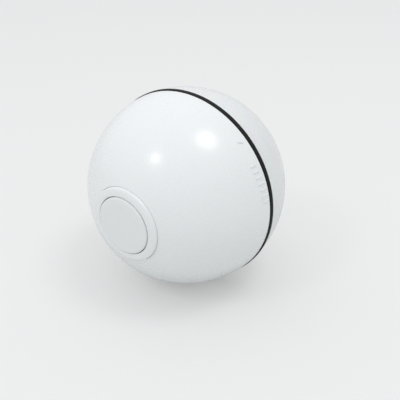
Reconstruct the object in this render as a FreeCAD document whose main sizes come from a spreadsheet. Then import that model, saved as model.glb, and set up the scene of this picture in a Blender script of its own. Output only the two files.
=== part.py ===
# A self-rolling light-up ball for a cat: two half spheres with a weighted motor core hanging between them.
# The origin is the centre of the ball. The button looks along -Y, the clear dome lies to +Y, and +Z is up.

import FreeCAD, Part
import Sketcher
import math
import os

Vector = FreeCAD.Vector

# Driving dimensions in millimetres, and angles in degrees
DIMENSIONS = [
    ("ball_diameter", 64.0, "outside of the closed ball"),
    ("shell_wall", 2.0, "wall of both half spheres"),
    ("band_width", 1.84, "visible width of the soft band at the seam"),
    ("band_proud", 0.25, "how far the band stands out of the ball"),
    ("band_bevel", 0.35, "bevelled outer edges of the band"),
    ("band_foot_width", 0.6, "tongue of the band that sits in the front rim"),
    ("band_foot_depth", 0.9, "depth of that tongue"),
    ("band_foot_inset", 0.6, "from the outside of the ball to the tongue"),
    ("face_gap", 0.05, "gap between faces that meet at the seam"),
    ("socket_wall", 2.5, "wall of the front rim round the socket"),
    ("spigot_wall", 1.2, "wall of the spigot on the clear dome"),
    ("spigot_depth", 5.0, "how far the spigot reaches past the seam plane"),
    ("spigot_blend", 1.8, "slope from the spigot to the inside of the dome"),
    ("fit", 0.1, "clearance between hand-fitted moulded parts"),
    ("running_fit", 0.05, "radial clearance of turning parts"),
    ("seat_fit", 0.02, "radial clearance of parts pushed home"),
    ("lug_height", 0.7, "lock lug, radially"),
    ("lug_length", 1.4, "lock lug, along the axis"),
    ("lug_root", 0.4, "how far a lug runs into the spigot"),
    ("lug_angle", 12.0, "lock lug, round the spigot"),
    ("lock_angle", 25.0, "turn that locks the dome"),
    ("lock_clearance", 1.0, "slack at each end of the lock slot, in degrees"),
    ("lug_count", 3, "lugs round the spigot"),
    ("lug_inset", 0.6, "from the spigot's end to the lugs"),
    ("bezel_diameter", 23.8, "ring round the button"),
    ("bezel_proud", 1.35, "how far the ring stands out of the well mouth"),
    ("bezel_round", 0.9, "rounded outer edge of the ring"),
    ("bezel_lip", 1.15, "inner lip that holds the button in"),
    ("well_depth", 4.06, "well mouth to its floor"),
    ("floor_thickness", 1.6, "floor of the button well"),
    ("button_diameter", 18.2, "visible button"),
    ("button_gap", 0.25, "dark gap round the button"),
    ("button_height", 0.4, "edge of the button above the ring"),
    ("button_crown", 0.25, "rise of the button at its middle"),
    ("button_wall", 1.2, "wall of the button cap"),
    ("button_flange", 1.0, "flange that keeps the button in"),
    ("flange_thickness", 0.8, "the same, along the axis"),
    ("button_bevel", 0.4, "bevelled edge of the button"),
    ("button_travel", 0.5, "how far the button presses in"),
    ("rod_head", 1.0, "head of the button's rod, outward and along the axis"),
    ("boot_clearance", 0.3, "from the boot's foot to the inside of the button"),
    ("boot_waist", 1.4, "from the bore of the hub to the narrow end of the boot"),
    ("boot_wall", 0.8, "wall of the boot at its narrow end"),
    ("boot_step", 0.6, "step from the cone to the edge of its foot"),
    ("boot_foot_height", 0.5, "foot of the boot, along the axis"),
    ("boot_foot_width", 1.4, "the same, outward"),
    ("hub_radius", 3.4, "hub tube that the core turns on"),
    ("hub_bore", 2.2, "hole through the hub tube"),
    ("rib_count", 6, "ribs at the foot of the hub tube"),
    ("rib_reach", 9.4, "outer end of those ribs"),
    ("rib_width", 1.0, "the same, across"),
    ("rib_height", 1.2, "the same, along the axis"),
    ("rib_overlap", 0.5, "how far the ribs run into the foot of the tube"),
    ("shoulder_radius", 5.0, "foot of the hub tube"),
    ("shoulder_height", 2.5, "the same, along the axis"),
    ("clip_thickness", 0.8, "clip that keeps the core on the hub"),
    ("clip_radius", 4.85, "outside of that clip"),
    ("clip_groove", 0.3, "depth of its groove"),
    ("end_float", 0.3, "gap where faces pass each other"),
    ("tooth_module", 0.5, "size of all the gear teeth"),
    ("ring_teeth", 64, "ring gear in the front half"),
    ("wheel_teeth", 30, "large wheel of each double gear"),
    ("pinion_teeth", 10, "motor pinion and the small wheels"),
    ("ring_gear_rim", 0.9, "metal outside the ring gear's tooth roots"),
    ("ring_gear_width", 2.4, "ring gear along the axis"),
    ("wheel_width", 2.2, "large wheels along the axis"),
    ("core_clearance", 1.2, "round the weight, inside the spigot"),
    ("frame_setback", 1.0, "edge of the main plate inside the weight's"),
    ("frame_thickness", 2.0, "main plate of the core"),
    ("boss_reach", 0.85, "bush tube behind the main plate"),
    ("gear_space", 7.9, "between the main plate and the gear cover"),
    ("cover_clearance", 2.5, "from the gear cover to the shell"),
    ("cover_thickness", 1.5, "gear cover"),
    ("boss_wall", 0.85, "tube of the plate round the bush"),
    ("bush_wall", 0.85, "bush round the hub tube"),
    ("bush_flange", 1.3, "flange of the bush, beyond its outside"),
    ("bush_flange_thickness", 0.8, "the same, along the axis"),
    ("pillar_radius", 2.0, "pillars that carry the gear cover"),
    ("pillar_inset", 3.0, "from the cover's edge to their middle"),
    ("post_radius", 2.4, "posts that carry the circuit board"),
    ("post_inset", 3.0, "from the board's edge to their middle"),
    ("post_spread", 65.0, "angle from the top post to the other two"),
    ("axle_radius", 0.8, "pins that the gears turn on"),
    ("motor_radius", 7.5, "motor can"),
    ("motor_length", 20.0, "motor can"),
    ("motor_angle", -50.0, "place of the motor round the axis"),
    ("motor_nose", 3.0, "radius of the bearing nose on the motor"),
    ("motor_cap_height", 1.8, "end cap of the motor"),
    ("motor_cap_step", 0.5, "from the can's edge to the cap's"),
    ("tab_width", 1.6, "solder tabs of the motor"),
    ("tab_height", 2.2, "the same, along the axis"),
    ("tab_thickness", 0.4, "solder tabs of the motor"),
    ("tab_offset", 3.6, "from the motor's axis to each tab"),
    ("shaft_radius", 0.75, "motor shaft"),
    ("battery_radius", 7.0, "rechargeable cell"),
    ("battery_length", 25.0, "rechargeable cell"),
    ("battery_tip", 0.7, "raised end of the cell"),
    ("battery_tip_radius", 2.6, "raised end of the cell"),
    ("battery_edge", 0.5, "bevelled edges of the cell"),
    ("cup_wall", 0.8, "cups that hold the motor and the cell"),
    ("cup_depth", 6.0, "the same, along the axis"),
    ("weight_gap", 0.45, "between the counterweight and the motor's cup"),
    ("weight_length", 18.5, "counterweight along the axis"),
    ("weight_angle", 42.0, "half of its spread round the axis"),
    ("weight_screw_share", 0.6, "place of its screws, as a share of that half"),
    ("board_clearance", 3.05, "from the main circuit board to the dome"),
    ("board_thickness", 1.2, "main circuit board"),
    ("board_gap", 1.3, "between the cell and the board"),
    ("chip_width", 7.0, "control chip"),
    ("chip_height", 1.4, "control chip, off the board"),
    ("socket_width", 9.0, "charging socket"),
    ("socket_height", 3.2, "charging socket"),
    ("socket_length", 6.8, "charging socket along the axis"),
    ("socket_skin", 0.35, "metal of the socket"),
    ("socket_floor", 1.0, "closed inner end of the socket"),
    ("tongue_setback", 1.5, "from the mouth of the socket to its tongue"),
    ("socket_place", 9.0, "charging socket above the axis"),
    ("tongue_thickness", 0.7, "tongue inside the socket"),
    ("led_radius", 1.5, "lamps on the board"),
    ("led_length", 3.2, "straight part of a lamp"),
    ("led_rim", 0.3, "rim at the foot of a lamp, outward"),
    ("led_rim_height", 0.8, "the same, along the axis"),
    ("led_circle", 12.0, "distance of the lamps from the axis"),
    ("led_spread", 60.0, "angle between two lamps"),
    ("led_count", 3, "lamps on the board"),
    ("switch_width", 6.0, "press switch under the button"),
    ("switch_depth", 3.4, "press switch along the axis"),
    ("plunger_radius", 1.7, "plunger of the switch"),
    ("plunger_reach", 1.3, "plunger outside the switch"),
    ("rod_gap", 0.1, "between the button's rod and the plunger"),
    ("switch_board_width", 9.0, "small board behind the switch"),
    ("switch_board_height", 10.8, "the same, upwards"),
    ("switch_post_radius", 1.2, "posts that carry the small board"),
    ("switch_post_spread", 2.9, "from the middle to each post"),
    ("switch_post_rise", 5.8, "their middle above the axis"),
    ("switch_bore_depth", 1.4, "hole for the plunger"),
    ("plunger_hold", 0.7, "part of the plunger inside the switch"),
    ("switch_board_drop", 3.3, "the same, below the axis"),
    ("switch_board_thickness", 1.0, "the same, along the axis"),
    ("screw_head_radius", 1.6, "heads of the small screws"),
    ("screw_head_height", 0.9, "the same, along the axis"),
    ("screw_radius", 0.8, "shanks of the small screws"),
    ("screw_length", 5.0, "the same, along the axis"),
    ("weight_screw_short", 0.5, "by how much the weight's screws end earlier"),
]


def build_sheet(doc):
    """Write the driving dimensions into a spreadsheet, one alias each."""
    sheet = doc.addObject("Spreadsheet::Sheet", "Sizes")
    for row, (name, size, note) in enumerate(DIMENSIONS, start=1):
        sheet.set(f"A{row}", name)
        sheet.set(f"B{row}", str(size))
        sheet.setAlias(f"B{row}", name)
        sheet.set(f"C{row}", note)
    doc.recompute()
    return sheet


def cell(name):
    return f"Sizes.{name}"


# Sizes that follow from the driving ones, as expressions on the sheet
BALL = "(Sizes.ball_diameter / 2)"
INNER = f"({BALL} - Sizes.shell_wall)"
RIM = "(Sizes.band_width / 2 + Sizes.face_gap)"
SOCKET = f"({BALL} - Sizes.socket_wall)"
SPIGOT = f"({SOCKET} - Sizes.fit)"
SPIGOT_BORE = f"({SPIGOT} - Sizes.spigot_wall)"
BAND = f"({BALL} + Sizes.band_proud)"
BEZEL = "(Sizes.bezel_diameter / 2)"
WELL = f"({BEZEL} + Sizes.fit)"
MOUTH = f"sqrt({BALL}^2 - {WELL}^2)"
WELL_FLOOR = f"({MOUTH} - Sizes.well_depth)"
FLOOR_BACK = f"({WELL_FLOOR} - Sizes.floor_thickness)"
BEZEL_TOP = f"({MOUTH} + Sizes.bezel_proud)"
BEZEL_BORE = "(Sizes.button_diameter / 2 + Sizes.button_gap)"
BUTTON = "(Sizes.button_diameter / 2)"
BUTTON_EDGE = f"({BEZEL_TOP} + Sizes.button_height)"
FLANGE = f"({BUTTON} + Sizes.button_flange)"
FLANGE_TOP = f"({BEZEL_TOP} - Sizes.bezel_lip - Sizes.bezel_round - Sizes.end_float)"
SHOULDER = f"({FLOOR_BACK} - Sizes.shoulder_height)"
BUSH = "(Sizes.hub_radius + Sizes.running_fit + Sizes.bush_wall)"
BOSS_BORE = f"({BUSH} + Sizes.seat_fit)"
BOSS = f"({BOSS_BORE} + Sizes.boss_wall)"
BUSH_FRONT = f"({SHOULDER} - Sizes.end_float)"
COVER_FRONT = f"({BUSH_FRONT} - Sizes.bush_flange_thickness)"
COVER_BACK = f"({COVER_FRONT} - Sizes.cover_thickness)"
FRAME_FRONT = f"({COVER_BACK} - Sizes.gear_space)"
FRAME_BACK = f"({FRAME_FRONT} - Sizes.frame_thickness)"
BOSS_BACK = f"({FRAME_BACK} - Sizes.boss_reach)"
GROOVE_FRONT = f"({BOSS_BACK} - Sizes.end_float)"
GROOVE_BACK = f"({GROOVE_FRONT} - Sizes.clip_thickness)"
HUB_END = f"({GROOVE_BACK} - Sizes.clip_thickness)"
SWITCH_FRONT = "(Sizes.plunger_reach + Sizes.rod_gap)"
BOARD_FRONT = f"(Sizes.battery_length + Sizes.battery_tip + Sizes.board_gap - {FRAME_BACK})"
BOARD_BACK = f"({BOARD_FRONT} + Sizes.board_thickness)"
BOARD_RADIUS = f"(sqrt({INNER}^2 - {BOARD_BACK}^2) - Sizes.board_clearance)"
POST_CIRCLE = f"({BOARD_RADIUS} - Sizes.post_inset)"
COVER_RADIUS = f"(sqrt({INNER}^2 - {COVER_FRONT}^2) - Sizes.cover_clearance)"
PILLAR_CIRCLE = f"({COVER_RADIUS} - Sizes.pillar_inset)"
PINION_PITCH = "(Sizes.tooth_module * Sizes.pinion_teeth / 2)"
WHEEL_PITCH = "(Sizes.tooth_module * Sizes.wheel_teeth / 2)"
RING_PITCH = "(Sizes.tooth_module * Sizes.ring_teeth / 2)"
GEAR_CIRCLE = f"({RING_PITCH} - {PINION_PITCH})"
MOTOR_CUP = "(Sizes.motor_radius + Sizes.running_fit + Sizes.cup_wall)"
WEIGHT_INNER = f"({GEAR_CIRCLE} + {MOTOR_CUP} + Sizes.weight_gap)"
WEIGHT_OUTER = f"({SPIGOT_BORE} - Sizes.core_clearance)"
FRAME_RADIUS = f"({WEIGHT_OUTER} - Sizes.frame_setback)"
WEIGHT_MIDDLE = f"(({WEIGHT_INNER} + {FRAME_RADIUS}) / 2)"
LUG_FRONT = "(Sizes.spigot_depth - Sizes.lug_inset)"
MOTOR_BACK = f"(Sizes.motor_length - {FRAME_BACK})"
GEAR_STEP = f"(2 * asin(({PINION_PITCH} + {WHEEL_PITCH}) / 2 / {GEAR_CIRCLE}) / (1 deg))"
IDLER_ANGLE = f"(Sizes.motor_angle + {GEAR_STEP})"
FINAL_ANGLE = f"(Sizes.motor_angle + 2 * {GEAR_STEP})"


def size(sheet, expression):
    """The number that an expression on the sheet gives now."""
    found = sheet.evalExpression(expression)
    return float(getattr(found, "Value", found))


def plane(body, role):
    return [part for part in body.Origin.OriginFeatures if part.Role == role][0]


def sketch_on(body, name, role="XZ_Plane", ahead="0"):
    """A sketch on one of the body's own planes. On XZ_Plane it is moved ahead, towards the button."""
    sketch = body.newObject("Sketcher::SketchObject", name)
    sketch.AttachmentSupport = (plane(body, role), [""])
    sketch.MapMode = "FlatFace"
    sketch.setExpression("AttachmentOffset.Base.z", ahead)
    return sketch


def bind(sketch, kind, *references, to):
    """Add a sized constraint and tie it to an expression."""
    value = size(sketch.Document.Sizes, to)
    if kind == "Angle":
        value = math.radians(value)
        to = f"({to}) * 1 deg"
    index = sketch.addConstraint(Sketcher.Constraint(kind, *references, value))
    sketch.setExpression(f"Constraints[{index}]", to)


def outline(sketch, corners):
    """A closed outline. Each corner is (x, y) or (x, y, 'arc'), where an arc about the origin follows it."""
    sheet = sketch.Document.Sizes
    spots = [Vector(size(sheet, corner[0]), size(sheet, corner[1]), 0) for corner in corners]
    lines = []
    for index, corner in enumerate(corners):
        here = spots[index]
        there = spots[(index + 1) % len(spots)]
        if len(corner) == 3:
            start = math.atan2(here.y, here.x)
            end = math.atan2(there.y, there.x)
            forward = end > start
            circle = Part.Circle(Vector(0, 0, 0), Vector(0, 0, 1), here.Length)
            low, high = (start, end) if forward else (end, start)
            line = sketch.addGeometry(Part.ArcOfCircle(circle, low, high))
            ends = (1, 2) if forward else (2, 1)
            sketch.addConstraint(Sketcher.Constraint("Coincident", line, 3, -1, 1))
        else:
            line = sketch.addGeometry(Part.LineSegment(here, there))
            ends = (1, 2)
        lines.append((line, ends, len(corner) == 3))
    for index, (line, ends, _) in enumerate(lines):
        before, before_ends, after_arc = lines[index - 1]
        sketch.addConstraint(Sketcher.Constraint("Coincident", before, before_ends[1], line, ends[0]))
        on_axis = corners[index][0] == "0"
        if on_axis:
            sketch.addConstraint(Sketcher.Constraint("PointOnObject", line, ends[0], -2))
        elif not after_arc:
            bind(sketch, "DistanceX", -1, 1, line, ends[0], to=corners[index][0])
        if not (on_axis and after_arc):
            bind(sketch, "DistanceY", -1, 1, line, ends[0], to=corners[index][1])


def circle(sketch, radius, x="0", y="0"):
    sheet = sketch.Document.Sizes
    centre = Vector(size(sheet, x), size(sheet, y), 0)
    ring = sketch.addGeometry(Part.Circle(centre, Vector(0, 0, 1), size(sheet, radius)))
    bind(sketch, "Radius", ring, to=radius)
    if x == "0" and y == "0":
        sketch.addConstraint(Sketcher.Constraint("Coincident", ring, 3, -1, 1))
        return
    bind(sketch, "DistanceX", -1, 1, ring, 3, to=x)
    bind(sketch, "DistanceY", -1, 1, ring, 3, to=y)


def rectangle(sketch, left, bottom, right, top):
    outline(sketch, [(left, bottom), (right, bottom), (right, top), (left, top)])


def sector(sketch, inner, outer, start, end):
    """A piece of a ring about the origin, between two angles."""
    sheet = sketch.Document.Sizes
    low, high = math.radians(size(sheet, start)), math.radians(size(sheet, end))
    rings = []
    for radius in (inner, outer):
        full = Part.Circle(Vector(0, 0, 0), Vector(0, 0, 1), size(sheet, radius))
        arc = sketch.addGeometry(Part.ArcOfCircle(full, low, high))
        sketch.addConstraint(Sketcher.Constraint("Coincident", arc, 3, -1, 1))
        bind(sketch, "Radius", arc, to=radius)
        rings.append(arc)
    for end_point, angle, name in ((1, low, start), (2, high, end)):
        along = Vector(math.cos(angle), math.sin(angle), 0)
        near, far = along * size(sheet, inner), along * size(sheet, outer)
        side = sketch.addGeometry(Part.LineSegment(near, far))
        sketch.addConstraint(Sketcher.Constraint("Coincident", side, 1, rings[0], end_point))
        sketch.addConstraint(Sketcher.Constraint("Coincident", side, 2, rings[1], end_point))
        sketch.addConstraint(Sketcher.Constraint("PointOnObject", -1, 1, side))
        bind(sketch, "Angle", side, to=name)


def revolve(body, name, corners):
    """Turn an outline, drawn with its radius along X and its place along Y, about the ball's axis."""
    sketch = sketch_on(body, name + "_outline", "XY_Plane")
    outline(sketch, corners)
    feature = body.newObject("PartDesign::Revolution", name)
    feature.Profile = (sketch, [""])
    feature.ReferenceAxis = (sketch, ["V_Axis"])
    feature.Angle = 360
    return feature


def pad(sketch, name, length):
    """Add material from the sketch towards the button."""
    feature = sketch.getParentGeoFeatureGroup().newObject("PartDesign::Pad", name)
    feature.Profile = (sketch, [""])
    feature.setExpression("Length", length)
    return feature


def pocket(sketch, name, depth):
    """Cut from the sketch towards the dome, and check that it took material away."""
    body = sketch.getParentGeoFeatureGroup()
    body.Document.recompute()
    before = body.Shape.Volume
    feature = body.newObject("PartDesign::Pocket", name)
    feature.Profile = (sketch, [""])
    feature.setExpression("Length", depth)
    body.Document.recompute()
    if body.Shape.Volume >= before:
        raise RuntimeError(name + " cuts nothing")
    return feature


def repeat_round(body, features, name, count):
    """Repeat features evenly round the ball's axis."""
    feature = body.newObject("PartDesign::PolarPattern", name)
    feature.Originals = features
    feature.Axis = (plane(body, "Y_Axis"), [""])
    feature.Angle = 360
    feature.setExpression("Occurrences", count)
    body.Tip = feature
    return feature


def ease_edges(body, name, kind, amount, wanted):
    """Round or bevel the edges for which wanted(edge) is true. kind is Fillet or Chamfer."""
    body.Document.recompute()
    base = body.Tip
    names = [f"Edge{number}" for number, edge in enumerate(base.Shape.Edges, start=1) if wanted(edge)]
    if not names:
        raise RuntimeError(name + " finds no edge")
    feature = body.newObject("PartDesign::" + kind, name)
    feature.Base = (base, names)
    feature.setExpression("Radius" if kind == "Fillet" else "Size", amount)
    return feature


def new_body(doc, label):
    return doc.addObject("PartDesign::Body", label)


def at(radius, angle):
    """The x and y of a spot on a circle, on a sketch that looks at the button's side."""
    return f"({radius}) * cos(({angle}) * 1 deg)", f"({radius}) * sin(({angle}) * 1 deg)"


MOTOR_SPOT = at(GEAR_CIRCLE, "Sizes.motor_angle")
IDLER_SPOT = at(GEAR_CIRCLE, IDLER_ANGLE)
FINAL_SPOT = at(GEAR_CIRCLE, FINAL_ANGLE)
BATTERY_SPOT = at(GEAR_CIRCLE, "180 - Sizes.motor_angle")
POST_ANGLES = ("90", "90 - Sizes.post_spread", "90 + Sizes.post_spread")
PILLAR_ANGLES = ("115", "195", "275")
SWITCH_POST_SPOTS = tuple((f"{side} * Sizes.switch_post_spread", "Sizes.switch_post_rise")
                          for side in (-1, 1))


def front_shell(doc):
    """The white half: button well, hub tube, socket for the spigot and slots for the lock lugs."""
    body = new_body(doc, "front_shell")
    foot_out = f"({BALL} - Sizes.band_foot_inset)"
    foot_in = f"({foot_out} - Sizes.band_foot_width - Sizes.fit)"
    foot_end = f"(0 - {RIM} - Sizes.band_foot_depth - Sizes.fit)"
    groove = "Sizes.hub_radius - Sizes.clip_groove"
    revolve(body, "half_ball", [
        ("Sizes.hub_bore", f"0 - {WELL_FLOOR}"),
        (WELL, f"0 - {WELL_FLOOR}"),
        (WELL, f"0 - {MOUTH}", "arc"),
        (f"sqrt({BALL}^2 - {RIM}^2)", f"0 - {RIM}"),
        (foot_out, f"0 - {RIM}"),
        (foot_out, foot_end),
        (foot_in, foot_end),
        (foot_in, f"0 - {RIM}"),
        (SOCKET, f"0 - {RIM}"),
        (SOCKET, f"0 - sqrt({INNER}^2 - {SOCKET}^2)", "arc"),
        (f"sqrt({INNER}^2 - {FLOOR_BACK}^2)", f"0 - {FLOOR_BACK}"),
        ("Sizes.shoulder_radius", f"0 - {FLOOR_BACK}"),
        ("Sizes.shoulder_radius", f"0 - {SHOULDER}"),
        ("Sizes.hub_radius", f"0 - {SHOULDER}"),
        ("Sizes.hub_radius", f"0 - {GROOVE_FRONT}"),
        (groove, f"0 - {GROOVE_FRONT}"),
        (groove, f"0 - {GROOVE_BACK}"),
        ("Sizes.hub_radius", f"0 - {GROOVE_BACK}"),
        ("Sizes.hub_radius", f"0 - {HUB_END}"),
        ("Sizes.hub_bore", f"0 - {HUB_END}"),
    ])
    slot_end = f"({LUG_FRONT} + Sizes.fit)"
    slot_back = f"({LUG_FRONT} - Sizes.lug_length - Sizes.fit)"
    slot_out = f"{SPIGOT} + Sizes.lug_height + Sizes.fit"
    half = "(Sizes.lug_angle / 2 + Sizes.lock_clearance)"
    way_in = sketch_on(body, "lug_way_in", ahead=slot_end)
    sector(way_in, f"{SOCKET} - 1", slot_out, f"0 - {half}", half)
    entry = pocket(way_in, "lug_entry", slot_end)
    turn = sketch_on(body, "lug_turn", ahead=slot_end)
    sector(turn, f"{SOCKET} - 1", slot_out, f"0 - {half}", f"{half} + Sizes.lock_angle")
    run = pocket(turn, "lug_run", f"{slot_end} - {slot_back}")
    repeat_round(body, [entry, run], "lug_slots", "Sizes.lug_count")
    rib_outline = sketch_on(body, "rib_outline", ahead=f"{FLOOR_BACK} - Sizes.rib_height")
    rectangle(rib_outline, "Sizes.shoulder_radius - Sizes.rib_overlap", "0 - Sizes.rib_width / 2",
              "Sizes.rib_reach", "Sizes.rib_width / 2")
    rib = pad(rib_outline, "rib", "Sizes.rib_height + Sizes.floor_thickness / 2")
    repeat_round(body, [rib], "ribs", "Sizes.rib_count")
    return body


def rear_dome(doc):
    """The clear half: a dome with a spigot and its lock lugs."""
    body = new_body(doc, "rear_dome")
    blend_top = f"({RIM} + Sizes.spigot_blend)"
    revolve(body, "dome", [
        ("0", BALL, "arc"),
        (f"sqrt({BALL}^2 - {RIM}^2)", RIM),
        (SPIGOT, RIM),
        (SPIGOT, "0 - Sizes.spigot_depth"),
        (SPIGOT_BORE, "0 - Sizes.spigot_depth"),
        (SPIGOT_BORE, RIM),
        (f"sqrt({INNER}^2 - {blend_top}^2)", blend_top, "arc"),
        ("0", INNER),
    ])
    shape = sketch_on(body, "lug_outline", ahead=f"{LUG_FRONT} - Sizes.lug_length")
    sector(shape, f"{SPIGOT} - Sizes.lug_root", f"{SPIGOT} + Sizes.lug_height",
           "0 - Sizes.lug_angle / 2", "Sizes.lug_angle / 2")
    lug = pad(shape, "lug", "Sizes.lug_length")
    repeat_round(body, [lug], "lugs", "Sizes.lug_count")
    return body


def seam_band(doc):
    """The soft black band, with a tongue in the front rim."""
    body = new_body(doc, "seam_band")
    tongue_out = f"({BALL} - Sizes.band_foot_inset - Sizes.fit / 2)"
    tongue_in = f"({tongue_out} - Sizes.band_foot_width)"
    bore = f"({SPIGOT} + Sizes.lug_height + Sizes.fit)"
    revolve(body, "band", [
        (bore, "0 - Sizes.band_width / 2"),
        (tongue_in, "0 - Sizes.band_width / 2"),
        (tongue_in, f"0 - {RIM} - Sizes.band_foot_depth"),
        (tongue_out, f"0 - {RIM} - Sizes.band_foot_depth"),
        (tongue_out, "0 - Sizes.band_width / 2"),
        (BAND, "0 - Sizes.band_width / 2"),
        (BAND, "Sizes.band_width / 2"),
        (bore, "Sizes.band_width / 2"),
    ])
    ease_edges(body, "band_bevel", "Chamfer", "Sizes.band_bevel", lambda edge: is_ring(doc, edge, BAND))
    return body


def is_ring(doc, edge, radius):
    """Whether an edge is a circle of this radius about the ball's axis."""
    curve = edge.Curve
    if not isinstance(curve, Part.Circle):
        return False
    on_axis = abs(curve.Center.x) + abs(curve.Center.z) < 1e-6
    return on_axis and abs(curve.Radius - size(doc.Sizes, radius)) < 1e-6


def button_bezel(doc):
    """The proud ring round the button, with a lip that keeps the button in."""
    body = new_body(doc, "button_bezel")
    lip = f"(0 - {BEZEL_TOP} + Sizes.bezel_lip + Sizes.bezel_round)"
    flange_bore = f"({FLANGE} + Sizes.fit)"
    revolve(body, "bezel", [
        (flange_bore, f"0 - {WELL_FLOOR}"),
        (flange_bore, lip),
        (BEZEL_BORE, lip),
        (BEZEL_BORE, f"0 - {BEZEL_TOP}"),
        (BEZEL, f"0 - {BEZEL_TOP}"),
        (BEZEL, f"0 - {WELL_FLOOR}"),
    ])
    top = -size(doc.Sizes, BEZEL_TOP)

    def outer_top(edge):
        return is_ring(doc, edge, BEZEL) and abs(edge.Curve.Center.y - top) < 1e-6

    ease_edges(body, "bezel_edge", "Fillet", "Sizes.bezel_round", outer_top)
    return body


def power_button(doc):
    """The press button: a crowned cap with a flange under the ring's lip."""
    body = new_body(doc, "power_button")
    under = f"(0 - {BUTTON_EDGE} + Sizes.button_wall)"
    crown = f"(0 - {BUTTON_EDGE} - Sizes.button_crown)"
    skirt = f"({BUTTON} - Sizes.button_wall)"
    flange_top = f"(0 - {FLANGE_TOP})"
    flange_end = f"(0 - {FLANGE_TOP} + Sizes.flange_thickness)"
    revolve(body, "cap", [
        ("0", crown),
        (f"{BUTTON} * 0.6", f"{crown} + Sizes.button_crown * 0.3"),
        (BUTTON, f"0 - {BUTTON_EDGE}"),
        (BUTTON, flange_top),
        (FLANGE, flange_top),
        (FLANGE, flange_end),
        (skirt, flange_end),
        (skirt, under),
        ("0", under),
    ])
    edge_place = -size(doc.Sizes, BUTTON_EDGE)

    def rim(edge):
        return is_ring(doc, edge, BUTTON) and abs(edge.Curve.Center.y - edge_place) < 1e-6

    ease_edges(body, "cap_edge", "Chamfer", "Sizes.button_bevel", rim)
    return body


def push_rod(doc):
    """The rod from the button through the hub tube to the switch."""
    body = new_body(doc, "push_rod")
    rod = "(Sizes.hub_bore - Sizes.fit)"
    head = f"({rod} + Sizes.rod_head)"
    under = f"(0 - {BUTTON_EDGE} + Sizes.button_wall)"
    tip = f"(0 - {SWITCH_FRONT})"
    revolve(body, "rod", [
        ("0", under),
        (head, under),
        (head, f"{under} + Sizes.rod_head"),
        (rod, f"{under} + Sizes.rod_head"),
        (rod, tip),
        ("0", tip),
    ])
    return body


def return_boot(doc):
    """The rubber cone that pushes the button back out."""
    body = new_body(doc, "return_boot")
    under = f"(0 - {BUTTON_EDGE} + Sizes.button_wall)"
    foot = f"(0 - {WELL_FLOOR} - Sizes.button_travel - Sizes.face_gap)"
    wide = f"({BUTTON} - Sizes.button_wall - Sizes.boot_clearance)"
    narrow = "(Sizes.hub_bore + Sizes.boot_waist)"
    revolve(body, "boot", [
        (narrow, under),
        (f"{narrow} + Sizes.boot_wall", under),
        (f"{wide} - Sizes.boot_step", f"{foot} - Sizes.boot_foot_height"),
        (wide, f"{foot} - Sizes.boot_foot_height"),
        (wide, foot),
        (f"{wide} - Sizes.boot_foot_width", foot),
    ])
    return body


def tooth_ring(count, pitch_radius, module, inward, turned):
    """The points of a gear's edge, with straight flanks. Inward teeth point at the axis."""
    reach, root = 0.8 * module, 1.05 * module
    step = 2 * math.pi / count
    tip_share, root_share = (0.13, 0.30) if not inward else (0.12, 0.29)
    tip_radius = pitch_radius - reach if inward else pitch_radius + reach
    root_radius = pitch_radius + root if inward else pitch_radius - root
    points = []
    for tooth in range(count):
        middle = math.radians(turned) + tooth * step
        for share, radius in ((-root_share, root_radius), (-tip_share, tip_radius),
                              (tip_share, tip_radius), (root_share, root_radius)):
            angle = middle + share * step
            points.append(Vector(radius * math.cos(angle), 0, radius * math.sin(angle)))
    return points


def gear_wire(count, module, place, inward=False, turned=0.0):
    """A gear's outline at a place along the axis, as a closed wire."""
    points = [point + Vector(0, place, 0)
              for point in tooth_ring(count, count * module / 2, module, inward, turned)]
    return Part.makePolygon(points + points[:1])


def feature_from(doc, label, shape, x=0.0, z=0.0):
    feature = doc.addObject("Part::Feature", label)
    feature.Shape = shape
    feature.Placement = FreeCAD.Placement(Vector(x, 0, z), FreeCAD.Rotation())
    return feature


REAR_GEARS = f"({FRAME_FRONT} + Sizes.end_float)"
FRONT_GEARS = f"({COVER_BACK} - Sizes.end_float)"
RING_TURN = f"({FINAL_ANGLE} + 180 / Sizes.ring_teeth)"


def mesh_turn(angle, driver_turn, driver_teeth, driven_teeth):
    """How far a gear is turned so that its gap meets the driver's tooth, which lies towards angle."""
    driver_phase = (angle - driver_turn) * driver_teeth / 360
    return angle + 180 - (0.5 - driver_phase) * 360 / driven_teeth


def heading(sheet, from_angle, to_angle):
    """The direction from one gear centre to the next, both on the same circle."""
    return (size(sheet, from_angle) + size(sheet, to_angle)) / 2 + 90


def gear_turns(sheet):
    """The turn of each toothed wheel at rest, so that every pair meshes."""
    wheel = size(sheet, cell("wheel_teeth"))
    pinion = size(sheet, cell("pinion_teeth"))
    first = heading(sheet, "Sizes.motor_angle", IDLER_ANGLE)
    second = heading(sheet, IDLER_ANGLE, FINAL_ANGLE)
    return {
        "idler_wheel": mesh_turn(first, 0, pinion, wheel),
        "final_wheel": mesh_turn(second, 0, pinion, wheel),
        "final_pinion": size(sheet, FINAL_ANGLE),
    }


def gear_disc(sheet, teeth, low, high, turned=0.0, inward=False):
    """A toothed disc between two places along the axis, both given ahead of the seam plane."""
    count = int(size(sheet, cell(teeth)))
    edge = gear_wire(count, size(sheet, cell("tooth_module")), -size(sheet, low), inward, turned)
    return Part.Face(edge).extrude(Vector(0, size(sheet, low) - size(sheet, high), 0))


def tube(radius, low, high):
    """A round bar on the Y axis between two places ahead of the seam plane."""
    return Part.makeCylinder(radius, low - high, Vector(0, -low, 0), Vector(0, 1, 0))


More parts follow.
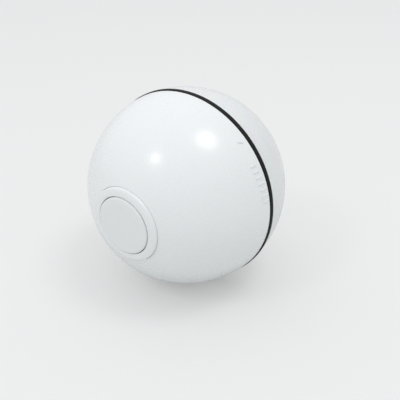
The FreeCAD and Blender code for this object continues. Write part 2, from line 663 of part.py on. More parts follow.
def ring_gear(doc):
    """The fixed inner-toothed ring that the last gear climbs round."""
    sheet = doc.Sizes
    inner_end = f"({FLOOR_BACK} - Sizes.ring_gear_width)"
    hole = gear_disc(sheet, "ring_teeth", FLOOR_BACK, inner_end, size(sheet, RING_TURN), inward=True)
    rim = size(sheet, f"{RING_PITCH} + 1.05 * Sizes.tooth_module + Sizes.ring_gear_rim")
    disc = tube(rim, size(sheet, FLOOR_BACK), size(sheet, inner_end))
    return feature_from(doc, "ring_gear", disc.cut(hole))


def motor_pinion(doc):
    sheet = doc.Sizes
    gear = gear_disc(sheet, "pinion_teeth", f"{REAR_GEARS} + Sizes.wheel_width", REAR_GEARS)
    bore = size(sheet, "Sizes.shaft_radius + Sizes.seat_fit")
    shape = gear.cut(tube(bore, size(sheet, COVER_BACK), 0))
    x, z = (size(sheet, spot) for spot in MOTOR_SPOT)
    return feature_from(doc, "motor_pinion", shape, x, z)


def idler_gear(doc):
    """The double gear next to the motor: its wheel meets the motor pinion."""
    sheet = doc.Sizes
    wheel_end = f"({REAR_GEARS} + Sizes.wheel_width)"
    wheel = gear_disc(sheet, "wheel_teeth", wheel_end, REAR_GEARS, gear_turns(sheet)["idler_wheel"])
    pinion = gear_disc(sheet, "pinion_teeth", FRONT_GEARS, wheel_end)
    return double_gear(doc, "idler_gear", wheel.fuse(pinion), IDLER_SPOT)


def final_gear(doc):
    """The double gear whose small wheel reaches through the cover to the ring gear."""
    sheet = doc.Sizes
    turns = gear_turns(sheet)
    wheel_back = f"({FRONT_GEARS} - Sizes.wheel_width)"
    wheel = gear_disc(sheet, "wheel_teeth", FRONT_GEARS, wheel_back, turns["final_wheel"])
    nose = f"({FLOOR_BACK} - Sizes.end_float)"
    pinion = gear_disc(sheet, "pinion_teeth", nose, FRONT_GEARS, turns["final_pinion"])
    collar_radius = size(sheet, f"{PINION_PITCH} - Sizes.tooth_module")
    collar = tube(collar_radius, size(sheet, wheel_back), size(sheet, REAR_GEARS))
    return double_gear(doc, "final_gear", wheel.fuse([pinion, collar]), FINAL_SPOT)


def double_gear(doc, label, solid, spot):
    """Bore a double gear for its pin and set it at its place."""
    sheet = doc.Sizes
    bore = size(sheet, "Sizes.axle_radius + Sizes.running_fit")
    shape = solid.cut(tube(bore, size(sheet, WELL_FLOOR), 0)).removeSplitter()
    return feature_from(doc, label, shape, size(sheet, spot[0]), size(sheet, spot[1]))


def core_frame(doc):
    """The main plate of the core with its bush tube, pillars, posts, cups and axle holes."""
    body = new_body(doc, "core_frame")
    plate = sketch_on(body, "plate_outline", ahead=FRAME_BACK)
    circle(plate, FRAME_RADIUS)
    pad(plate, "plate", "Sizes.frame_thickness")
    boss = sketch_on(body, "boss_outline", ahead=BOSS_BACK)
    circle(boss, BOSS)
    pad(boss, "boss", f"{COVER_BACK} - {BOSS_BACK}")
    pillars = sketch_on(body, "pillar_outline", ahead=FRAME_FRONT)
    for angle in PILLAR_ANGLES:
        circle(pillars, "Sizes.pillar_radius", *at(PILLAR_CIRCLE, angle))
    pad(pillars, "pillars", "Sizes.gear_space")
    posts = sketch_on(body, "post_outline", ahead=f"0 - {BOARD_FRONT}")
    for angle in POST_ANGLES:
        circle(posts, "Sizes.post_radius", *at(POST_CIRCLE, angle))
    pad(posts, "posts", f"{BOARD_FRONT} + {FRAME_BACK}")
    switch_posts = sketch_on(body, "switch_post_outline", ahead="0 - Sizes.switch_depth")
    for spot in SWITCH_POST_SPOTS:
        circle(switch_posts, "Sizes.switch_post_radius", *spot)
    pad(switch_posts, "switch_posts", f"Sizes.switch_depth + {FRAME_BACK}")
    for name, radius, spot in (("motor_cup", "Sizes.motor_radius", MOTOR_SPOT),
                               ("battery_cup", "Sizes.battery_radius", BATTERY_SPOT)):
        cup = sketch_on(body, name + "_outline", ahead=f"{FRAME_BACK} - Sizes.cup_depth")
        circle(cup, f"{radius} + Sizes.running_fit", *spot)
        circle(cup, f"{radius} + Sizes.running_fit + Sizes.cup_wall", *spot)
        pad(cup, name, "Sizes.cup_depth")
    holes = sketch_on(body, "hole_outline", ahead=COVER_BACK)
    circle(holes, BOSS_BORE)
    circle(holes, "Sizes.motor_nose + Sizes.running_fit", *MOTOR_SPOT)
    for spot in (IDLER_SPOT, FINAL_SPOT):
        circle(holes, "Sizes.axle_radius + Sizes.seat_fit", *spot)
    for angle in WEIGHT_SCREW_ANGLES:
        circle(holes, "Sizes.screw_radius + Sizes.fit", *at(WEIGHT_MIDDLE, angle))
    pocket(holes, "holes", f"{COVER_BACK} - {BOSS_BACK} + 1")
    return body


WEIGHT_SCREW_ANGLES = ("-90 - Sizes.weight_angle * Sizes.weight_screw_share",
                       "-90 + Sizes.weight_angle * Sizes.weight_screw_share")


def gear_cover(doc):
    """The plate over the gears, open round the last pinion."""
    body = new_body(doc, "gear_cover")
    disc = sketch_on(body, "cover_outline", ahead=COVER_BACK)
    circle(disc, COVER_RADIUS)
    circle(disc, BOSS_BORE)
    circle(disc, "Sizes.axle_radius + Sizes.seat_fit", *IDLER_SPOT)
    circle(disc, f"{PINION_PITCH} + Sizes.tooth_module + Sizes.end_float", *FINAL_SPOT)
    for angle in PILLAR_ANGLES:
        circle(disc, "Sizes.screw_radius + Sizes.fit", *at(PILLAR_CIRCLE, angle))
    pad(disc, "cover", "Sizes.cover_thickness")
    return body


def spin_bush(doc):
    """The flanged brass bush that turns on the hub tube."""
    body = new_body(doc, "spin_bush")
    bore = "(Sizes.hub_radius + Sizes.running_fit)"
    revolve(body, "bush", [
        (bore, f"0 - {BUSH_FRONT}"),
        (f"{BUSH} + Sizes.bush_flange", f"0 - {BUSH_FRONT}"),
        (f"{BUSH} + Sizes.bush_flange", f"0 - {COVER_FRONT}"),
        (BUSH, f"0 - {COVER_FRONT}"),
        (BUSH, f"0 - {BOSS_BACK}"),
        (bore, f"0 - {BOSS_BACK}"),
    ])
    return body


def hub_clip(doc):
    """The clip in the hub tube's groove, which keeps the core on."""
    body = new_body(doc, "hub_clip")
    inner = "(Sizes.hub_radius - Sizes.clip_groove + Sizes.seat_fit)"
    front = f"({GROOVE_FRONT} - Sizes.face_gap)"
    back = f"({GROOVE_BACK} + Sizes.face_gap)"
    revolve(body, "clip", [
        (inner, f"0 - {front}"),
        ("Sizes.clip_radius", f"0 - {front}"),
        ("Sizes.clip_radius", f"0 - {back}"),
        (inner, f"0 - {back}"),
    ])
    return body


def bar(doc, name, radius, length, x, ahead, z):
    """A round bar along the axis from a place ahead of the seam plane towards the dome."""
    solid = doc.addObject("Part::Cylinder", name)
    solid.setExpression("Radius", radius)
    solid.setExpression("Height", length)
    solid.setExpression("Placement.Base.x", x)
    solid.setExpression("Placement.Base.y", f"0 - ({ahead})")
    solid.setExpression("Placement.Base.z", z)
    solid.Placement.Rotation = FreeCAD.Rotation(Vector(1, 0, 0), -90)
    return solid


def block(doc, name, width, length, height, x, ahead, z):
    """A box whose x is its middle, with its front at a place ahead of the seam plane and z at its bottom."""
    solid = doc.addObject("Part::Box", name)
    solid.setExpression("Length", width)
    solid.setExpression("Width", length)
    solid.setExpression("Height", height)
    solid.setExpression("Placement.Base.x", f"{x} - ({width}) / 2")
    solid.setExpression("Placement.Base.y", f"0 - ({ahead})")
    solid.setExpression("Placement.Base.z", z)
    return solid


def cut(doc, name, base, tool):
    solid = doc.addObject("Part::Cut", name)
    solid.Base = base
    solid.Tool = tool
    return solid


def fuse(doc, name, *parts):
    solid = doc.addObject("Part::MultiFuse", name)
    solid.Shapes = list(parts)
    return solid


def group(doc, name, parts):
    solid = doc.addObject("Part::Compound", name)
    solid.Links = list(parts)
    return solid


def motor_can(doc):
    """The motor with its bearing nose in the plate, bored for the shaft."""
    x, z = MOTOR_SPOT
    can = bar(doc, "can_tube", "Sizes.motor_radius", "Sizes.motor_length", x, FRAME_BACK, z)
    nose = bar(doc, "can_nose", "Sizes.motor_nose", "Sizes.frame_thickness", x, FRAME_FRONT, z)
    bore = bar(doc, "can_bore", "Sizes.shaft_radius + Sizes.running_fit",
               "Sizes.motor_length + Sizes.frame_thickness", x, FRAME_FRONT, z)
    return cut(doc, "motor_can", fuse(doc, "can_solid", can, nose), bore)


def motor_cap(doc):
    """The plastic end cap of the motor, closed over the shaft's end."""
    x, z = MOTOR_SPOT
    cap = bar(doc, "cap_disc", "Sizes.motor_radius - Sizes.motor_cap_step", "Sizes.motor_cap_height",
              x, f"0 - {MOTOR_BACK}", z)
    pit = bar(doc, "cap_pit", "Sizes.shaft_radius + Sizes.fit", "Sizes.motor_cap_height / 2",
              x, f"0 - {MOTOR_BACK}", z)
    return cut(doc, "motor_cap", cap, pit)


def motor_tabs(doc):
    """The two solder tabs of the motor."""
    x, z = MOTOR_SPOT
    back = f"0 - {MOTOR_BACK} - Sizes.motor_cap_height"
    tabs = [block(doc, f"tab_{name}", "Sizes.tab_width", "Sizes.tab_height", "Sizes.tab_thickness",
                  f"({x}) {sign} Sizes.tab_offset", back, z)
            for name, sign in (("left", "-"), ("right", "+"))]
    return group(doc, "motor_tabs", tabs)


def motor_shaft(doc):
    x, z = MOTOR_SPOT
    front = f"{REAR_GEARS} + Sizes.wheel_width + Sizes.face_gap"
    length = f"{front} + {MOTOR_BACK} + Sizes.motor_cap_height / 3"
    return bar(doc, "motor_shaft", "Sizes.shaft_radius", length, x, front, z)


def battery(doc):
    """The rechargeable cell and its raised end."""
    x, z = BATTERY_SPOT
    front = f"{FRAME_BACK} - Sizes.running_fit"
    cell_body = bar(doc, "cell_tube", "Sizes.battery_radius", "Sizes.battery_length", x, front, z)
    doc.recompute()
    rings = [number for number, edge in enumerate(cell_body.Shape.Edges, start=1)
             if isinstance(edge.Curve, Part.Circle)]
    eased = doc.addObject("Part::Chamfer", "cell_eased")
    eased.Base = cell_body
    edge_size = size(doc.Sizes, cell("battery_edge"))
    eased.Edges = [(number, edge_size, edge_size) for number in rings]
    tip = bar(doc, "cell_tip", "Sizes.battery_tip_radius",
              "Sizes.battery_length + Sizes.battery_tip", x, front, z)
    return fuse(doc, "battery", eased, tip)


def counterweight(doc):
    """The steel weight that keeps the core hanging upright."""
    body = new_body(doc, "counterweight")
    shape = sketch_on(body, "weight_outline", ahead=f"{FRAME_BACK} - Sizes.weight_length")
    sector(shape, WEIGHT_INNER, WEIGHT_OUTER,
           "-90 - Sizes.weight_angle", "-90 + Sizes.weight_angle")
    pad(shape, "weight", "Sizes.weight_length")
    holes = sketch_on(body, "screw_hole_outline", ahead=FRAME_BACK)
    for angle in WEIGHT_SCREW_ANGLES:
        circle(holes, "Sizes.screw_radius + Sizes.seat_fit", *at(WEIGHT_MIDDLE, angle))
    pocket(holes, "screw_holes", "Sizes.screw_length")
    return body


def screws(doc, label, spots, head_front, shank_length):
    """Round-headed screws that point at the dome, as one group."""
    solids = []
    for number, (x, z) in enumerate(spots):
        head = bar(doc, f"{label}_head_{number}", "Sizes.screw_head_radius", "Sizes.screw_head_height",
                   x, f"{head_front} + Sizes.screw_head_height", z)
        shank = bar(doc, f"{label}_shank_{number}", "Sizes.screw_radius", shank_length, x, head_front, z)
        solids.append(fuse(doc, f"{label}_{number}", head, shank))
    return group(doc, label, solids)


def weight_screws(doc):
    spots = [at(WEIGHT_MIDDLE, angle) for angle in WEIGHT_SCREW_ANGLES]
    length = "Sizes.frame_thickness + Sizes.screw_length - Sizes.weight_screw_short"
    return screws(doc, "weight_screws", spots, FRAME_FRONT, length)


def cover_screws(doc):
    spots = [at(PILLAR_CIRCLE, angle) for angle in PILLAR_ANGLES]
    return screws(doc, "cover_screws", spots, COVER_FRONT, "Sizes.cover_thickness")


def circuit_board(doc):
    """The main board behind the motor and the cell."""
    body = new_body(doc, "circuit_board")
    disc = sketch_on(body, "board_outline", ahead=f"0 - {BOARD_BACK}")
    circle(disc, BOARD_RADIUS)
    for angle in POST_ANGLES:
        circle(disc, "Sizes.screw_radius + Sizes.fit", *at(POST_CIRCLE, angle))
    pad(disc, "board", "Sizes.board_thickness")
    return body


def board_screws(doc):
    """The screws that hold the board to the posts, with their heads towards the dome."""
    solids = []
    for number, angle in enumerate(POST_ANGLES):
        x, z = at(POST_CIRCLE, angle)
        head = bar(doc, f"board_head_{number}", "Sizes.screw_head_radius", "Sizes.screw_head_height",
                   x, f"0 - {BOARD_BACK}", z)
        shank = bar(doc, f"board_shank_{number}", "Sizes.screw_radius", "Sizes.board_thickness",
                    x, f"0 - {BOARD_FRONT}", z)
        solids.append(fuse(doc, f"board_screw_{number}", head, shank))
    return group(doc, "board_screws", solids)


def charging_socket(doc):
    """The charging socket on the board, with its mouth towards the dome and a tongue inside."""
    front = f"0 - {BOARD_BACK}"
    low = "Sizes.socket_place - Sizes.socket_height / 2"
    body = block(doc, "socket_block", "Sizes.socket_width", "Sizes.socket_length", "Sizes.socket_height",
                 "0", front, low)
    mouth = block(doc, "socket_mouth", "Sizes.socket_width - 2 * Sizes.socket_skin",
                  "Sizes.socket_length", "Sizes.socket_height - 2 * Sizes.socket_skin",
                  "0", f"{front} - Sizes.socket_floor", f"{low} + Sizes.socket_skin")
    tongue = block(doc, "socket_tongue", "Sizes.socket_width - 6 * Sizes.socket_skin",
                   "Sizes.socket_length - Sizes.tongue_setback", "Sizes.tongue_thickness",
                   "0", front, "Sizes.socket_place - Sizes.tongue_thickness / 2")
    return fuse(doc, "charging_socket", cut(doc, "socket_shell", body, mouth), tongue)


def lamps(doc):
    """The domed lamps that light the clear dome."""
    solids = []
    count = int(size(doc.Sizes, cell("led_count")))
    for number in range(count):
        x, z = at("Sizes.led_circle", f"-90 + ({number} - 1) * Sizes.led_spread")
        tube_part = bar(doc, f"lamp_tube_{number}", "Sizes.led_radius", "Sizes.led_length",
                        x, f"0 - {BOARD_BACK}", z)
        foot = bar(doc, f"lamp_foot_{number}", "Sizes.led_radius + Sizes.led_rim", "Sizes.led_rim_height",
                   x, f"0 - {BOARD_BACK}", z)
        dome = doc.addObject("Part::Sphere", f"lamp_dome_{number}")
        dome.setExpression("Radius", "Sizes.led_radius")
        dome.setExpression("Placement.Base.x", x)
        dome.setExpression("Placement.Base.y", f"{BOARD_BACK} + Sizes.led_length")
        dome.setExpression("Placement.Base.z", z)
        solids.append(fuse(doc, f"lamp_{number}", tube_part, foot, dome))
    return group(doc, "lamps", solids)


def control_chip(doc):
    return block(doc, "control_chip", "Sizes.chip_width", "Sizes.chip_height", "Sizes.chip_width",
                 "0", f"0 - {BOARD_BACK}", "0 - Sizes.chip_width / 2")


def switch_board(doc):
    return block(doc, "switch_board", "Sizes.switch_board_width", "Sizes.switch_board_thickness",
                 "Sizes.switch_board_height", "0", "0 - Sizes.switch_depth", "0 - Sizes.switch_board_drop")


def press_switch(doc):
    """The switch body on the small board, bored for its plunger."""
    body = block(doc, "switch_block", "Sizes.switch_width", "Sizes.switch_depth", "Sizes.switch_width",
                 "0", "0", "0 - Sizes.switch_width / 2")
    bore = bar(doc, "switch_bore", "Sizes.plunger_radius + Sizes.running_fit",
               "Sizes.switch_bore_depth", "0", "0", "0")
    return cut(doc, "press_switch", body, bore)


def switch_plunger(doc):
    return bar(doc, "switch_plunger", "Sizes.plunger_radius", "Sizes.plunger_reach + Sizes.plunger_hold",
               "0", "Sizes.plunger_reach", "0")


def gear_pins(doc):
    """The two steel pins that the double gears turn on."""
    idler_x, idler_z = IDLER_SPOT
    final_x, final_z = FINAL_SPOT
    idler = bar(doc, "idler_pin", "Sizes.axle_radius", f"{COVER_FRONT} - {FRAME_BACK}",
                idler_x, COVER_FRONT, idler_z)
    front = f"({FLOOR_BACK} - Sizes.end_float)"
    final = bar(doc, "final_pin", "Sizes.axle_radius", f"{front} - {FRAME_BACK}",
                final_x, front, final_z)
    return group(doc, "gear_pins", [idler, final])


MAKERS = (
    front_shell, button_bezel, ring_gear, hub_clip,
    power_button, push_rod, return_boot,
    seam_band, rear_dome,
    core_frame, gear_cover, spin_bush, motor_can, motor_cap, motor_tabs, battery, counterweight,
    weight_screws, cover_screws, circuit_board, board_screws, charging_socket, lamps, control_chip,
    switch_board, press_switch, gear_pins,
    motor_shaft, motor_pinion, idler_gear, final_gear, switch_plunger,
)


def main():
    doc = FreeCAD.newDocument("cat_ball")
    build_sheet(doc)
    nodes = []
    for maker in MAKERS:
        node = maker(doc)
        node.Label = maker.__name__
        nodes.append(node)
    doc.recompute()
    for part in doc.Objects:
        if "Invalid" in part.State or "Error" in part.State:
            raise RuntimeError(f"{part.Label} failed: {part.State}")
    for node in nodes:
        if node.Shape.isNull() or not node.Shape.isValid():
            raise RuntimeError(node.Label + " has no valid shape")
    os.makedirs("parts", exist_ok=True)
    for node in nodes:
        node.Shape.exportStep(f"parts/{node.Label}.step")
        print(node.Label, round(node.Shape.Volume, 2), len(node.Shape.Solids))


main()
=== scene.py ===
"""Dresses the self-rolling pet ball: finishes for its moulded, rubber and metal pieces, the raised marks on
its front shell, and the wires and small parts of the core that hangs inside it."""

import logging
import math
from dataclasses import dataclass, field
from enum import Enum
from typing import Any, Callable, Iterable

import bpy
from mathutils import Matrix, Vector


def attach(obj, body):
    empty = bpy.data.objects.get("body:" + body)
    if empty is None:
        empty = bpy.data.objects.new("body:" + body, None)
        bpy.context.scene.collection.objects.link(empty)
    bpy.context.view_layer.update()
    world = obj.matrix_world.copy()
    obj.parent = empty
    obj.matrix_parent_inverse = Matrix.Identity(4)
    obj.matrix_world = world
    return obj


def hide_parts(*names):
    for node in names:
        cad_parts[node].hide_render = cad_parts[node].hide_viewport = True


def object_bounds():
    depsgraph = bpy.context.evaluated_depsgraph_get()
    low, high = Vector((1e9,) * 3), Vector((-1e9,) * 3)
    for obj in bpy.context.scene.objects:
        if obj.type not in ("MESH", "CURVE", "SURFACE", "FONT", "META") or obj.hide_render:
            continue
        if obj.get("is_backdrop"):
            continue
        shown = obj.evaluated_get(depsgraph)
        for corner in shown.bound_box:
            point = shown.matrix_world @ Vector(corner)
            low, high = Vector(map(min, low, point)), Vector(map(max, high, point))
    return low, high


logging.basicConfig(level=logging.INFO, format="%(message)s")
LOG = logging.getLogger("pet_ball")

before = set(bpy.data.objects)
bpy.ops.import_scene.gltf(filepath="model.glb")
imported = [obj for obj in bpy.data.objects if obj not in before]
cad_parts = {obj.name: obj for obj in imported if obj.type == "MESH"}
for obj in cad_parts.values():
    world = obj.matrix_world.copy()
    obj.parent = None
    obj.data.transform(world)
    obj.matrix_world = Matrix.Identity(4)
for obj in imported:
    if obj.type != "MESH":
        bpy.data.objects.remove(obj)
CAD_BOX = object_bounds()

MM = 0.001
BALL_RADIUS = 32.0 * MM
FLOOR_DROP = 32.26 * MM

Colour = tuple[float, float, float]
Point = tuple[float, float, float]
Placing = tuple[float, float, float]
Spot = tuple[float, float]
Profile = list[Spot]
Node = bpy.types.Node
Piece = bpy.types.Object
Socket = bpy.types.NodeSocket

PLASTIC_IOR = 1.5
RUBBER_IOR = 1.4
SHARP_EDGE = 35.0
MERGE_DISTANCE = 1e-7


# Node trees

class Wiring:
    """Adds nodes to one node tree and joins their sockets."""

    def __init__(self, tree: bpy.types.NodeTree) -> None:
        """Take the tree that the nodes go into."""
        self.tree = tree

    def add(self, kind: str, inputs: dict[Any, Any] | None = None, **settings: Any) -> Node:
        """Add a node, set it up and feed its inputs.

        Args:
            kind: The node's Blender type name.
            inputs: For each input, a socket to join it to or a plain value to set on it.
            **settings: Properties of the node itself.

        Returns:
            The new node.
        """
        node = self.tree.nodes.new(kind)
        for name, value in settings.items():
            setattr(node, name, value)
        for name, value in (inputs or {}).items():
            self.feed(node.inputs[name], value)
        return node

    def feed(self, socket: Socket, value: Any) -> None:
        """Join a socket to an input, or set a plain value on it."""
        if isinstance(value, Socket):
            self.tree.links.new(value, socket)
        else:
            socket.default_value = value

    def noise(self, where: Socket, scale: float | Socket, detail: float, roughness: float = 0.5) -> Socket:
        """Give the factor of a noise pattern.

        Args:
            where: The coordinates that it reads.
            scale: Waves to the metre.
            detail: Octaves.
            roughness: Strength of the finer octaves.

        Returns:
            A value socket from 0 to 1.
        """
        return self.add("ShaderNodeTexNoise", {
            "Vector": where, "Scale": scale, "Detail": detail, "Roughness": roughness}).outputs[0]

    def where(self) -> Socket:
        """Give the object's own coordinates."""
        return self.add("ShaderNodeTexCoord").outputs["Object"]

    def stretched(self, where: Socket, scale: Point, turn: Point = (0.0, 0.0, 0.0)) -> Socket:
        """Give coordinates that are turned, in radians, and then scaled along each axis."""
        mapping = self.add("ShaderNodeMapping", {"Vector": where, "Rotation": turn, "Scale": scale})
        return mapping.outputs["Vector"]

    def remap(self, value: Socket, low: float, high: float, to_low: float | Socket = 0.0,
              to_high: float | Socket = 1.0) -> Socket:
        """Stretch a value's range to another one, cut off at its ends.

        Args:
            value: The value to change.
            low: Lower end of its range.
            high: Upper end of its range.
            to_low: What the lower end becomes.
            to_high: What the upper end becomes.

        Returns:
            The new value's socket.
        """
        return self.add("ShaderNodeMapRange", {"Value": value, "From Min": low, "From Max": high,
                                               "To Min": to_low, "To Max": to_high}).outputs["Result"]

    def maths(self, operation: str, *values: Socket | float) -> Socket:
        """Give the result of a maths node on two or three values."""
        return self.add("ShaderNodeMath", dict(enumerate(values)), operation=operation).outputs[0]

    def give(self, result: Node, **values: Socket) -> None:
        """Join sockets to the outputs of a group, each under its name."""
        for name, value in values.items():
            self.tree.links.new(value, result.inputs[name])

    def blend(self, factor: Socket | float, first: Any, second: Any, mode: str = "MIX") -> Socket:
        """Mix two colours.

        Args:
            factor: Share of the second one.
            first: A colour or a colour socket.
            second: A colour or a colour socket.
            mode: The mix node's blend type.

        Returns:
            The mixed colour's socket.
        """
        node = self.add("ShaderNodeMix", {"Factor": factor, 6: first, 7: second}, data_type="RGBA",
                        blend_type=mode)
        return node.outputs[2]


def emptied(owner: bpy.types.Material | bpy.types.World) -> Wiring:
    """Empty the node tree of a material or world and give its wiring."""
    owner.use_nodes = True
    owner.node_tree.nodes.clear()
    return Wiring(owner.node_tree)


def spaced(values: dict[str, float]) -> dict[str, float]:
    """Give values under the names of their inputs, with a space for each _."""
    return {name.replace("_", " "): value for name, value in values.items()}


class Effect:
    """A shader node group with named inputs and outputs, built once and placed in each material."""

    def __init__(self, name: str, inputs: dict[str, float], outputs: dict[str, str],
                 build: Callable[[Wiring, Node, Node], None]) -> None:
        """Build the group.

        Args:
            name: The group's name.
            inputs: Each input's name and usual value.
            outputs: Each output's name and socket type.
            build: Fills the group, from its wiring, its input node and its output node.
        """
        self.tree = bpy.data.node_groups.new(name, "ShaderNodeTree")
        for label, value in inputs.items():
            socket = self.tree.interface.new_socket(name=label, in_out="INPUT", socket_type="NodeSocketFloat")
            socket.default_value = value
        for label, kind in outputs.items():
            self.tree.interface.new_socket(name=label, in_out="OUTPUT", socket_type=kind)
        wiring = Wiring(self.tree)
        build(wiring, wiring.add("NodeGroupInput"), wiring.add("NodeGroupOutput"))

    def place(self, wiring: Wiring, **values: float) -> Node:
        """Place the group in a material, with its own values (an input's name with _ for each space)."""
        return wiring.add("ShaderNodeGroup", spaced(values), node_tree=self.tree)


def fill_mottling(wiring: Wiring, given: Node, result: Node) -> None:
    """Fill the group for the slow drift of shade and thickness in a moulded or drawn surface."""
    where = wiring.where()
    scale = given.outputs["Scale"]
    broad = wiring.noise(where, scale, 2.0)
    fine = wiring.noise(where, wiring.maths("MULTIPLY", scale, 6.0), 4.0, 0.6)
    both = wiring.maths("MULTIPLY_ADD", broad, 0.7, wiring.maths("MULTIPLY", fine, 0.3))
    low = wiring.maths("SUBTRACT", 1.0, given.outputs["Amount"])
    wiring.give(result, Shade=wiring.remap(both, 0.3, 0.7, low), Height=both)


def fill_grain(wiring: Wiring, given: Node, result: Node) -> None:
    """Fill the group for the fine grain that a tool's surface leaves on a moulding."""
    where = wiring.where()
    scale = given.outputs["Scale"]
    cells = wiring.add("ShaderNodeTexVoronoi", {"Vector": where, "Scale": scale}).outputs["Distance"]
    fine = wiring.noise(where, scale, 5.0, 0.7)
    height = wiring.maths("ADD", wiring.maths("MULTIPLY", cells, 0.4), fine)
    wiring.give(result, Height=height, Mask=wiring.remap(fine, 0.35, 0.65))


def fill_edge_wear(wiring: Wiring, given: Node, result: Node) -> None:
    """Fill the group for edges rubbed by handling: a mask that is 1 on a worn edge, broken up by noise."""
    pointed = wiring.add("ShaderNodeNewGeometry").outputs["Pointiness"]
    broken = wiring.remap(wiring.noise(wiring.where(), 900.0, 4.0, 0.65), 0.35, 0.7, 0.2)
    edge = wiring.maths("MULTIPLY", wiring.remap(pointed, 0.52, 0.62), broken)
    wiring.give(result, Mask=wiring.maths("MULTIPLY", edge, given.outputs["Amount"]))


def fill_scuffs(wiring: Wiring, given: Node, result: Node) -> None:
    """Fill the group for hairline scuffs and finger smears, with a mask for each."""
    where = wiring.where()
    lines = []
    for turn, stretch in ((0.6, (1.0, 0.06, 1.0)), (2.1, (0.07, 1.0, 1.0))):
        along = wiring.stretched(where, stretch, (turn, turn / 2, 0.3))
        lines.append(wiring.remap(wiring.noise(along, 2600.0, 2.0), 0.68, 0.74))
    patches = wiring.remap(wiring.noise(where, 120.0, 3.0), 0.5, 0.72)
    scratch = wiring.maths("MULTIPLY", wiring.maths("MAXIMUM", *lines), patches)
    smear = wiring.remap(wiring.noise(where, 60.0, 5.0, 0.6), 0.45, 0.7)
    amount = given.outputs["Amount"]
    wiring.give(result, Scratch=wiring.maths("MULTIPLY", scratch, amount),
                Smear=wiring.maths("MULTIPLY", smear, amount))


def fill_dust(wiring: Wiring, given: Node, result: Node) -> None:
    """Fill the group for dust that settles on the faces that look up."""
    normal = wiring.add("ShaderNodeTexCoord").outputs["Normal"]
    up = wiring.add("ShaderNodeSeparateXYZ", {0: normal}).outputs["Z"]
    specks = wiring.remap(wiring.noise(wiring.where(), 1500.0, 6.0, 0.75), 0.52, 0.66)
    settled = wiring.maths("MULTIPLY", wiring.remap(up, 0.1, 0.9), specks)
    wiring.give(result, Mask=wiring.maths("MULTIPLY", settled, given.outputs["Amount"]))


def fill_lay(wiring: Wiring, given: Node, result: Node) -> None:
    """Fill the group for the fine lines that turning, drawing or brushing leaves along a metal's lay."""
    along = wiring.stretched(wiring.where(), (1.0, 0.04, 1.0))
    lines = wiring.noise(along, given.outputs["Scale"], 4.0, 0.7)
    wiring.give(result, Height=lines, Mask=wiring.remap(lines, 0.3, 0.7))


VALUE = "NodeSocketFloat"
MOTTLING = Effect("Moulding drift", {"Scale": 60.0, "Amount": 0.04}, {"Shade": VALUE, "Height": VALUE},
                  fill_mottling)
GRAIN = Effect("Tool grain", {"Scale": 4000.0}, {"Height": VALUE, "Mask": VALUE}, fill_grain)
EDGE_WEAR = Effect("Rubbed edges", {"Amount": 0.5}, {"Mask": VALUE}, fill_edge_wear)
SCUFFS = Effect("Scuffs and smears", {"Amount": 0.5}, {"Scratch": VALUE, "Smear": VALUE}, fill_scuffs)
DUST = Effect("Settled dust", {"Amount": 0.2}, {"Mask": VALUE}, fill_dust)
LAY = Effect("Metal lay", {"Scale": 2500.0}, {"Height": VALUE, "Mask": VALUE}, fill_lay)


# Finishes

class Sheen(Enum):
    """How polished the tool's surface was, as the roughness of what it moulds."""

    GLOSS = 0.27
    SATIN = 0.34
    MATT = 0.55


def rgba(colour: Colour) -> tuple[float, float, float, float]:
    """Give a colour with full alpha."""
    return (*colour, 1.0)


@dataclass(frozen=True)
class Finish:
    """What every finish has: a name, a colour and how worn it is."""

    name: str
    colour: Colour
    wear: float = 0.3

    def material(self) -> bpy.types.Material:
        """Give this finish's material, made on its first use."""
        made = bpy.data.materials.get(self.name)
        if made is None:
            made = bpy.data.materials.new(self.name)
            wiring = emptied(made)
            shader = self.shader(wiring)
            wiring.add("ShaderNodeOutputMaterial", {"Surface": shader.outputs[0]})
        return made

    def shader(self, wiring: Wiring) -> Node:
        """Build the nodes of the finish and give its shader node."""
        raise NotImplementedError

    def drifting(self, wiring: Wiring, scale: float, amount: float) -> tuple[Socket, Socket]:
        """Give the finish's colour with a slow drift of its shade, and the height that drifts with it."""
        mottling = MOTTLING.place(wiring, Scale=scale, Amount=amount)
        shade = mottling.outputs["Shade"]
        return wiring.blend(1.0, rgba(self.colour), shade, "MULTIPLY"), mottling.outputs["Height"]

    def principled(self, wiring: Wiring, colour: Socket, rough: Socket, normal: Socket,
                   **others: float) -> Node:
        """Build the shader node, with its other inputs by name (with _ for each space)."""
        inputs = {"Base Color": colour, "Roughness": rough, "Normal": normal}
        return wiring.add("ShaderNodeBsdfPrincipled", inputs | spaced(others))

    def bump(self, wiring: Wiring, height: Socket, distance: float, strength: float,
             under: Socket | None = None) -> Socket:
        """Turn a height into a normal.

        Args:
            wiring: The material's wiring.
            height: The height's socket.
            distance: Real depth of the relief, in metres.
            strength: Share of it that shows.
            under: The normal of a bump below this one.

        Returns:
            The normal's socket.
        """
        node = wiring.add("ShaderNodeBump", {"Height": height, "Distance": distance, "Strength": strength})
        if under is not None:
            wiring.tree.links.new(under, node.inputs["Normal"])
        return node.outputs["Normal"]


